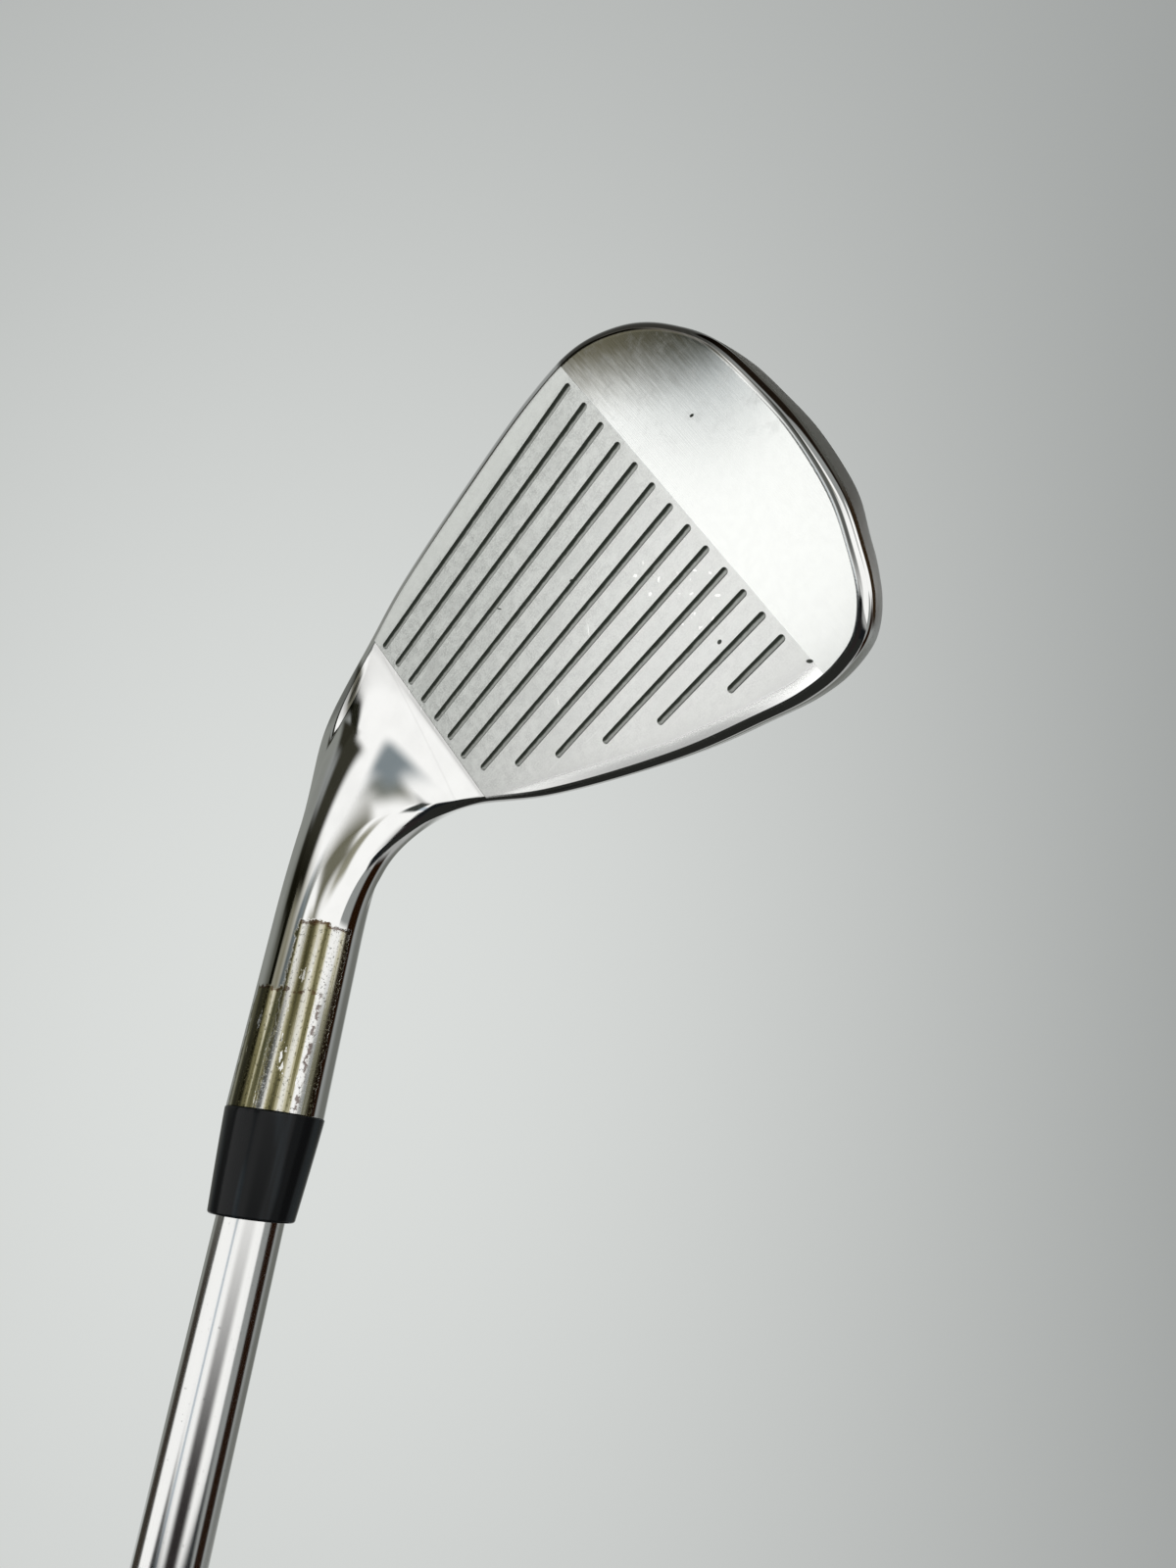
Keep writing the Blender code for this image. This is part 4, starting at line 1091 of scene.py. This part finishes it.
        broken = n.step(n.noise(where, 1100, 3), 0.44, 0.50)
        below, above, soft = WORN_LINES
        low_line = n.band(height, WORN_TOPS[1] - below, WORN_TOPS[1] - above, soft)
        low_line = n.times(low_line, broken, n.step(self.turn, 0.1, 0.0))
        high_line = n.band(height, WORN_TOPS[0] - below, WORN_TOPS[0], WORN_SOFT)
        low_part = n.step(height, WORN_TOPS[1], WORN_TOPS[1] - 0.001)
        side_line = n.times(n.band(ragged_turn, *WORN_SIDE_LINE), low_part, broken)
        return n.layers(
            n.colour(n.step(lightness, 0.0, 0.25), tone(olive, 0.3), olive),
            (n.step(lightness, 0.20, 0.65), self.set.worn_brass),
            (n.step(lightness, 0.52, 0.85), tone(self.set.chrome, 0.97)),
            (n.times(self.pits, 0.55), tone(olive, 0.4)),
            (n.times(n.either(low_line, high_line, side_line), 0.8), self.set.worn_rust),
        )

    def polished(self):
        """The bright plating, with painted shade and a painted dark reflection at the heel, a dark band of
        painted reflection and tarnish along the neck and hosel, the toe's tarnish on the edge, and painted
        shade lines round the face.
        """
        n, u, v, d = self.n, self.u, self.v, self.d
        chrome, olive = self.set.chrome, self.set.olive_tarnish_and_reflection
        before, past = HEEL_SLOPES
        rise = n.times(n.math("MAXIMUM", u, 0.0), past)
        slant = n.plus(v, rise, n.times(n.math("MINIMUM", u, 0.0), before))
        near_heel = n.times(n.band(u, *HEEL_U), n.band(d, *HEEL_D), n.step(self.y, *HEEL_FRONT))
        below = n.step(self.z, TARNISH_AND_REFLECTION_TOP, TARNISH_AND_REFLECTION_TOP - TARNISH_AND_REFLECTION_FADE)
        tarnish_and_painted_reflection = n.times(n.band(self.turn, *TARNISH_AND_REFLECTION_TURNS), below)
        past_toe = n.step(u, self.toe + RIM_STAIN_U[0], self.toe + RIM_STAIN_U[1])
        edge_stain = n.times(self.stained, n.step(d, *RIM_STAIN_D), past_toe)
        towards_end = n.step(u, self.toe, self.toe + RIM_SHADE_U)
        rim_painted_shade = n.times(n.band(d, *RIM_SHADE_D), n.band(v, *RIM_SHADE_V), towards_end)
        fanned = n.plus(u, n.times(n.minus(v, SCORE_FIRST), CREASE_FAN))
        crease_painted_shade = n.band(fanned, self.heel + CREASE_SHADE[0], self.heel + CREASE_SHADE[1], CREASE_SHADE[2])
        return n.layers(
            n.colour(n.step(n.noise(self.where, 180, 3), 0.35, 0.75), chrome, tone(chrome, 0.94)),
            # Painted shade at the heel, and a painted dark reflection in a band along it.
            (n.times(near_heel, n.step(slant, *HEEL_SHADE), 0.75), tone(chrome, 0.38)),
            (n.times(near_heel, n.band(slant, *HEEL_PAINTED_REFLECTION), 0.92), tone(olive, 0.30)),
            # A dark band along the neck and hosel: painted dark reflection with a tarnish's streaks.
            (n.times(tarnish_and_painted_reflection, n.blend(self.bands, 0.70, 1.0)), tone(olive, 0.62)),
            (n.times(edge_stain, 0.92), self.set.rim_stain),
            # Painted shade: a dark line where the toe's edge begins to round.
            (n.times(rim_painted_shade, 0.92), self.set.dirt_and_shade),
            # Painted shade: a faint line where the flat beside the hitting area meets the rounding.
            (n.times(crease_painted_shade, n.band(d, *CREASE_SHADE_D), 0.22), tone(chrome, 0.5)),
        )

    def fill(self):
        """Lays the areas over one another and joins them to the shader."""
        n, hit, toe_side = self.n, self.hit, self.toe_side
        worn = self.worn()
        nicked = n.times(self.nicks, self.on_face)
        colour = n.layers(
            self.polished(),
            (hit, self.blasted()),
            (toe_side, self.satin()),
            (n.times(self.behind, 0.8), tone(self.set.satin, 0.8)),
            (self.patches, worn),
            (nicked, NICKED_METAL),
            (self.marks, self.set.dirt_and_shade),
        )
        roughness = n.layers(
            n.blend(hit, 0.055, n.blend(self.grain, 0.38, 0.52)),
            (n.times(n.step(self.top_light, 0.2, 0.8), hit), 0.06),
            (toe_side, n.blend(self.streaks, 0.10, 0.18)),
            (self.behind, n.blend(n.noise(self.where, 1800), 0.26, 0.36)),
            (self.patches, n.blend(self.pits, 0.15, 0.45)),
            (n.times(self.smudge, toe_side), 0.20),
            (nicked, 0.12),
            mix=n.blend,
        )
        still_blasted = n.times(hit, n.minus(1.0, n.either(self.nicks, self.top_light)))
        metal = n.blend(still_blasted, 1.0, self.set.blasted_metal)
        sandy = n.times(self.grain, hit, n.minus(1.0, self.top_light))
        raised = n.plus(sandy, n.times(self.streaks, toe_side, 0.25))
        sunk = n.times(self.patches, n.plus(1.2, n.times(self.pits, 0.8)))
        inputs = {
            "Base Color": colour,
            "Roughness": roughness,
            "Metallic": n.times(metal, n.minus(1.0, self.marks)),
            "Normal": n.bump(n.minus(raised, sunk), 0.35, 0.00005),
        }
        n.give(self.shader, inputs)


def score_finish(settings):
    """Bare grey metal in the score lines, darker along both walls, with painted shade along the wall nearer
    the leading edge.
    """
    made, n, shader = finish("score_grooves")
    where, (_, v, _) = n.face_axes()
    pitch, width = settings.score_pitch, settings.score_width
    lines = n.math("DIVIDE", n.minus(v, SCORE_FIRST - pitch / 2), pitch)
    across = n.drift(n.math("FRACT", lines), pitch)
    patchy = n.drift(n.noise(where, 900, 3), width * 0.3)
    # Painted shade along the wall nearer the leading edge; both walls are darker as well.
    low_wall_painted_shade = n.step(n.plus(across, patchy), -width * 0.02, -width * 0.24)
    sides = n.step(n.math("ABSOLUTE", across), width * 0.30, width * 0.42)
    dark_walls = n.either(low_wall_painted_shade, n.times(sides, 0.85))
    metal, dark_wall_colour = settings.score_metal, settings.dirt_and_shade
    bare = n.colour(n.noise(where, 2500), tone(metal, 0.45), tone(metal, 0.75))
    # The walls' dark colour, which also paints the shade.
    dirt = n.colour(n.noise(where, 1500, 3), dark_wall_colour, tone(dark_wall_colour, 1.8))
    inputs = {
        "Base Color": n.colour(dark_walls, bare, dirt),
        "Roughness": n.blend(dark_walls, 0.42, 0.7),
        "Metallic": n.minus(0.6, n.times(dark_walls, 0.6)),
    }
    n.give(shader, inputs)
    return made


def shaft_finish(settings):
    """Polished chrome with a faint haze along the tube and small dark specks."""
    made, n, shader = finish("shaft_chrome")
    where, _ = n.object_axes()
    haze = n.grained(where, (900, 900, 30), 3)
    specks = n.step(n.noise(where, 1300, 3, 0.6), 0.66, 0.72)
    colour = n.layers(
        n.colour(haze, settings.chrome, tone(settings.chrome, 0.95)),
        (n.times(specks, 0.5), tone(settings.chrome, 0.35)),
    )
    n.give(shader, {"Base Color": colour, "Roughness": n.blend(haze, 0.09, 0.15), "Metallic": 1.0})
    return made


def ferrule_finish(settings):
    """Glossy black plastic with faint painted highlight streaks along it."""
    made, n, shader = finish("ferrule_plastic")
    where, _ = n.object_axes()
    # Painted highlight streaks along the ferrule.
    streaks = n.step(n.grained(where, (420, 420, 12)), 0.54, 0.70)
    rings = n.grained(where, (150, 150, 6000))
    colour = n.layers(
        n.colour(streaks, settings.plastic, settings.painted_glint), (n.times(rings, 0.5), FERRULE_BLACK)
    )
    normal = n.bump(rings, 0.05, 0.00003)
    inputs = {"Base Color": colour, "Roughness": 0.16, "Specular IOR Level": 0.16, "Normal": normal}
    n.give(shader, inputs)
    return made


def rubber_finish(name, settings):
    """Matt black rubber with fine pores and a little dust."""
    made, n, shader = finish(name)
    where, _ = n.object_axes()
    dust = n.step(n.noise(where, 60, 4, 0.6), 0.35, 0.8)
    pores = n.noise(where, 3500)
    inputs = {
        "Base Color": n.colour(dust, settings.rubber, tone(settings.rubber, 2.2)),
        "Roughness": n.blend(pores, 0.62, 0.8),
        "Normal": n.bump(pores, 0.3, 0.0001),
    }
    n.give(shader, inputs)
    return made


def plain_finish(name, grain, colours, roughness, bump, metallic):
    """One stuff whose colour, roughness and height all follow the same grain."""
    made, n, shader = finish(name)
    where, _ = n.object_axes()
    share = n.grained(where, *grain)
    inputs = {
        "Base Color": n.colour(share, *colours),
        "Roughness": n.blend(share, *roughness),
        "Metallic": metallic,
        "Normal": n.bump(share, *bump),
    }
    n.give(shader, inputs)
    return made


# ---------------------------------------------------------------- operators
class CLUB_OT_head(Operator):
    """Build the head: polished body, blasted face and cut score lines"""

    bl_idname = "golf_club.head"
    bl_label = "Head"

    def execute(self, context):
        head = Head(context.scene.club_head)
        body = link("club_head_detail", head.mesh())
        slots = link("score_slots", head.slots_mesh())
        body.data.materials.append(HeadFinish(head).made)
        slots.data.materials.append(score_finish(head.set))
        boolean = body.modifiers.new("Score Lines", "BOOLEAN")
        boolean.object = slots
        boolean.solver = "EXACT"
        boolean.material_mode = "TRANSFER"
        apply_modifiers(body)
        bpy.data.objects.remove(slots)
        axes = body.data.attributes.new(FACE_AXES, "FLOAT_VECTOR", "POINT")
        points = np.empty(3 * len(body.data.vertices), np.float32)
        body.data.vertices.foreach_get("co", points)
        axes.data.foreach_set("vector", points)
        body.data.transform(head.matrix())
        about = Matrix.Translation((0, 0, HOSEL_TOP_Z))
        body.data.transform(about @ Matrix.Scale(HEAD_FIT, 4) @ about.inverted())
        place(body, "club_head", "head_chrome")
        return {"FINISHED"}


class CLUB_OT_ferrule(Operator):
    """Build the ferrule between the hosel and the shaft"""

    bl_idname = "golf_club.ferrule"
    bl_label = "Ferrule"

    def execute(self, context):
        settings = context.scene.club_ferrule
        top = HOSEL_TOP_Z - FERRULE_SEAT
        end_radius = BORE_RADIUS + FERRULE_END_WALL
        lip_z, end_lip_z = top - FERRULE_LIP, FERRULE_END_Z + FERRULE_END_LIP
        profile = [(BORE_RADIUS, top)]
        profile += arc((FERRULE_RADIUS - FERRULE_LIP, lip_z), FERRULE_LIP, 90, 0)
        for t in np.linspace(0, 1, FERRULE_ROWS)[1:]:
            radius = mixed((FERRULE_RADIUS, end_radius), t**settings.curve)
            profile.append((radius, mixed((lip_z, end_lip_z), t)))
        profile += arc((end_radius - FERRULE_END_LIP, end_lip_z), FERRULE_END_LIP, -8, -90)
        profile.append((BORE_RADIUS, FERRULE_END_Z))
        turned_piece("ferrule", "ferrule_plastic", ferrule_finish(settings), profile)
        return {"FINISHED"}


class CLUB_OT_shaft(Operator):
    """Build the stepped steel shaft"""

    bl_idname = "golf_club.shaft"
    bl_label = "Shaft"

    def execute(self, context):
        settings = context.scene.club_shaft
        last_step = GRIP_LENGTH + GRIP_TO_STEP
        spans = int((SHAFT_TIP_Z - settings.tip_parallel - last_step) / settings.step_pitch)
        first_step = last_step + spans * settings.step_pitch
        rise = (BUTT_RADIUS - TIP_RADIUS) / (spans + 1)
        tip_bore = TIP_RADIUS - settings.tip_wall
        butt_bore = BUTT_RADIUS - settings.butt_wall
        profile = [(TIP_RADIUS, SHAFT_TIP_Z)]
        for i in range(spans + 1):
            z = first_step - i * settings.step_pitch
            for t in np.linspace(0, 1, STEP_POINTS):
                profile.append((TIP_RADIUS + (i + smooth(t)) * rise, z - t * STEP_SLOPE))
        profile += [(BUTT_RADIUS, SHAFT_BUTT_Z), (butt_bore, SHAFT_BUTT_Z), (butt_bore, last_step)]
        profile += [(tip_bore, first_step), (tip_bore, SHAFT_TIP_Z)]
        turned_piece("shaft", "shaft_chrome", shaft_finish(settings), profile)
        return {"FINISHED"}


def grip_radius(z):
    """The grip's radius: a taper from the mouth, then a flare to the butt."""
    start, end = GRIP_FLARE
    if z > start:
        mouth_z = GRIP_LENGTH - GRIP_MOUTH_BAND
        return mixed((GRIP_MOUTH, GRIP_NECK), max((mouth_z - z) / (mouth_z - start), 0) ** GRIP_TAPER)
    return mixed((GRIP_NECK, GRIP_BUTT_RADIUS), float(smooth((start - z) / (start - end))))


class CLUB_OT_grip(Operator):
    """Build the rubber grip and its end cap"""

    bl_idname = "golf_club.grip"
    bl_label = "Grip and End Cap"

    def execute(self, context):
        settings = context.scene.club_grip

        def grooves(z, turns):
            from_butt, from_mouth = z - GROOVE_ENDS[0], GRIP_LENGTH - GROOVE_ENDS[1] - z
            plain = min(smooth(from_butt / GROOVE_FADE), smooth(from_mouth / GROOVE_FADE))
            depth = np.zeros(len(turns))
            pitch = 2 * math.pi / settings.groove_count
            for way in (1, -1):
                phase = (turns + way * 2 * math.pi * z / settings.groove_lead) % pitch
                across = np.minimum(phase, pitch - phase) * grip_radius(z)
                depth = np.maximum(depth, 1 - smooth(across / (settings.groove_width / 2) - GROOVE_FLOOR))
            return depth * plain * settings.groove_depth

        pocket = CAP_RADIUS + CLEARANCE
        mouth_round, butt_round = GRIP_MOUTH_ROUND, GRIP_BUTT_ROUND
        profile = [(GRIP_BORE, GRIP_LENGTH)]
        profile += arc((GRIP_MOUTH - mouth_round, GRIP_LENGTH - mouth_round), mouth_round, 90, 0)
        for z in np.linspace(GRIP_LENGTH - GRIP_MOUTH_BAND, butt_round, GRIP_ROWS):
            profile.append((grip_radius(z), z))
        profile += arc((GRIP_BUTT_RADIUS - butt_round, butt_round), butt_round, 0, -90)[1:]
        profile += [(pocket, 0), (pocket, SHAFT_BUTT_Z), (GRIP_BORE, SHAFT_BUTT_Z)]
        rubber = rubber_finish("grip_rubber", settings)
        turned_piece("grip", "grip_rubber", rubber, profile, GRIP_STEPS, grooves)

        profile = [(VENT_RADIUS, CAP_THICKNESS), (CAP_RADIUS, CAP_THICKNESS)]
        profile += arc((CAP_RADIUS - CAP_CHAMFER, CAP_CHAMFER), CAP_CHAMFER, 0, -90)
        profile += arc((VENT_RADIUS + CAP_CHAMFER, CAP_CHAMFER), CAP_CHAMFER, -90, -180)
        turned_piece("grip_end_cap", "cap_rubber", rubber_finish("cap_rubber", settings), profile)
        return {"FINISHED"}


class CLUB_OT_hidden(Operator):
    """Finish the pieces inside: the tip weight and the grip tape"""

    bl_idname = "golf_club.hidden_pieces"
    bl_label = "Hidden Pieces"

    def execute(self, context):
        settings = context.scene.club_hidden
        brass = plain_finish(
            "weight_brass",
            grain=((60, 60, 8000), 2, 0.5),
            colours=(settings.brass, settings.brass_dull),
            roughness=(0.25, 0.42),
            bump=(0.2, 0.00004),
            metallic=1.0,
        )
        tape = plain_finish(
            "tape_paper",
            grain=((2500, 2500, 600), 4, 0.7),
            colours=(settings.paper, settings.paper_dark),
            roughness=(0.75, 0.92),
            bump=(0.4, 0.0001),
            metallic=0.0,
        )
        for node, slot, made in (
            ("tip_weight", "weight_brass", brass),
            ("grip_tape", "tape_paper", tape),
        ):
            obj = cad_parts[node]
            obj.data.materials.clear()
            obj.data.materials.append(made)
        return {"FINISHED"}


def direction(azimuth, elevation):
    """Unit vector: azimuth is counter-clockwise from +Y, in degrees."""
    a, e = math.radians(azimuth), math.radians(elevation)
    return Vector((-math.sin(a) * math.cos(e), math.cos(a) * math.cos(e), math.sin(e)))


def stand(obj, centre, azimuth, elevation, distance):
    """Puts a lamp or card at its place round a centre, and turns it to face the centre."""
    obj.location = centre + distance * direction(azimuth, elevation)
    obj.rotation_euler = (centre - obj.location).to_track_quat("-Z", "Y").to_euler()


def card(centre, name, azimuth, elevation, distance, width, height, colour, fade, roll):
    """A glowing or dark card that only glossy rays see, with soft edges."""
    bm = bmesh.new()
    bmesh.ops.create_grid(bm, x_segments=1, y_segments=1, size=0.5)
    obj = link(name, mesh_from(bm, name))
    obj.scale = (width, height, 1)
    stand(obj, centre, azimuth, elevation, distance)
    obj.rotation_euler.rotate_axis("Z", math.radians(roll))
    for ray in ("camera", "diffuse", "transmission", "shadow", "volume_scatter"):
        setattr(obj, "visible_" + ray, False)
    made, n, _ = finish(name)
    made.node_tree.nodes.clear()
    made.cycles.emission_sampling = "NONE"
    _, (x, y, _) = n.object_axes()
    inside = n.times(*(n.step(n.math("ABSOLUTE", side), 0.5, 0.5 - fade) for side in (x, y)))
    glow = n.add("Emission", {"Color": colour}).outputs[0]
    clear = n.add("BsdfTransparent").outputs[0]
    both = n.add("MixShader", (inside, clear, glow)).outputs[0]
    n.add("OutputMaterial", {"Surface": both})
    obj.data.materials.append(made)


class CLUB_OT_studio(Operator):
    """Set up the studio: floor, backdrop, soft lamps and camera"""

    bl_idname = "golf_club.studio"
    bl_label = "Studio"

    def execute(self, context):
        settings = context.scene.club_studio
        self.floor(settings)
        self.world(context, settings)
        for centre, cards in CARDS:
            for values in cards:
                card(centre, *values)
        for name, azimuth, elevation, distance, size, power in LAMPS:
            self.lamp(name, azimuth, elevation, distance, size, getattr(settings, power))
        self.camera(context, settings)
        context.scene.view_settings.view_transform = "Standard"
        return {"FINISHED"}

    def floor(self, settings):
        bm = bmesh.new()
        bmesh.ops.create_circle(bm, cap_ends=True, segments=ROUND_STEPS, radius=FLOOR_RADIUS)
        floor = link("studio_floor", mesh_from(bm, "studio_floor"))
        made, n, shader = finish("studio_floor")
        where, _ = n.object_axes()
        colour = n.colour(n.noise(where, 3.0), settings.floor, tone(settings.floor, 0.97))
        n.give(shader, {"Base Color": colour, "Roughness": 0.9})
        floor.data.materials.append(made)

    def world(self, context, settings):
        """A pale backdrop for what sees it, and even light for everything else."""
        world = bpy.data.worlds.new("studio")
        world.use_nodes = True
        context.scene.world = world
        world.node_tree.nodes.clear()
        n = Nodes(world.node_tree)
        look = n.add("TexCoord").outputs["Generated"]
        centre, aside = direction(*BACKDROP_PLACE), direction(*BACKDROP_SIDE)
        ways = (centre, aside, centre.cross(aside))
        facing, across, above = (n.dot(look, way) for way in ways)
        across = n.times(across, BACKDROP_NARROWS)
        away = n.plus(n.times(across, across), n.times(above, above))
        share = n.math("DIVIDE", away, BACKDROP_REACH, clamp=True)
        share = n.either(share, n.step(facing, *BACKDROP_BEHIND))
        seen = n.colour(share, settings.backdrop, settings.backdrop_edge)
        path = n.add("LightPath").outputs
        sees = n.either(*(path[f"Is {ray} Ray"] for ray in ("Camera", "Glossy", "Transmission")))
        colour = n.colour(sees, settings.room, seen)
        background = n.add("Background", {"Color": colour, "Strength": 1.0})
        n.add("OutputWorld", {"Surface": background.outputs[0]})

    def lamp(self, name, azimuth, elevation, distance, size, power):
        data = bpy.data.lights.new(name, "AREA")
        data.shape = "SQUARE"
        data.size = size
        data.energy = power
        data.spread = LAMP_SPREAD
        lamp = link(name, data)
        stand(lamp, STUDIO_CENTRE, azimuth, elevation, distance)
        lamp.visible_camera = False
        lamp.visible_glossy = False

    def camera(self, context, settings):
        data = bpy.data.cameras.new("camera")
        data.lens = settings.lens
        data.sensor_width = SENSOR_WIDTH
        data.clip_start = NEAREST
        camera = link("camera", data)
        camera.location = settings.camera_place
        camera.rotation_euler = settings.camera_turn
        context.scene.camera = camera


class CLUB_PT_panel(Panel):
    """Lists the pieces of the club, with their sizes and colours"""

    bl_idname = "CLUB_PT_panel"
    bl_label = "Iron Golf Club"
    bl_space_type = "VIEW_3D"
    bl_region_type = "UI"
    bl_category = "Golf Club"

    def draw(self, context):
        for operator, group in OPERATORS.items():
            box = self.layout.box()
            box.operator(operator.bl_idname)
            for name in SETTINGS[group].__annotations__:
                box.prop(getattr(context.scene, group), name)


OPERATORS = {
    CLUB_OT_head: "club_head",
    CLUB_OT_ferrule: "club_ferrule",
    CLUB_OT_shaft: "club_shaft",
    CLUB_OT_grip: "club_grip",
    CLUB_OT_hidden: "club_hidden",
    CLUB_OT_studio: "club_studio",
}
CLASSES = (*SETTINGS.values(), *OPERATORS, CLUB_PT_panel)


def register():
    for made in CLASSES:
        bpy.utils.register_class(made)
    for name, group in SETTINGS.items():
        setattr(bpy.types.Scene, name, PointerProperty(type=group))


def unregister():
    for name in SETTINGS:
        delattr(bpy.types.Scene, name)
    for made in reversed(CLASSES):
        bpy.utils.unregister_class(made)


def main():
    register()
    bpy.ops.golf_club.studio()
    bpy.ops.golf_club.head()
    bpy.ops.golf_club.ferrule()
    bpy.ops.golf_club.shaft()
    bpy.ops.golf_club.grip()
    bpy.ops.golf_club.hidden_pieces()
    bpy.context.view_layer.update()


if __name__ == "__main__":
    main()
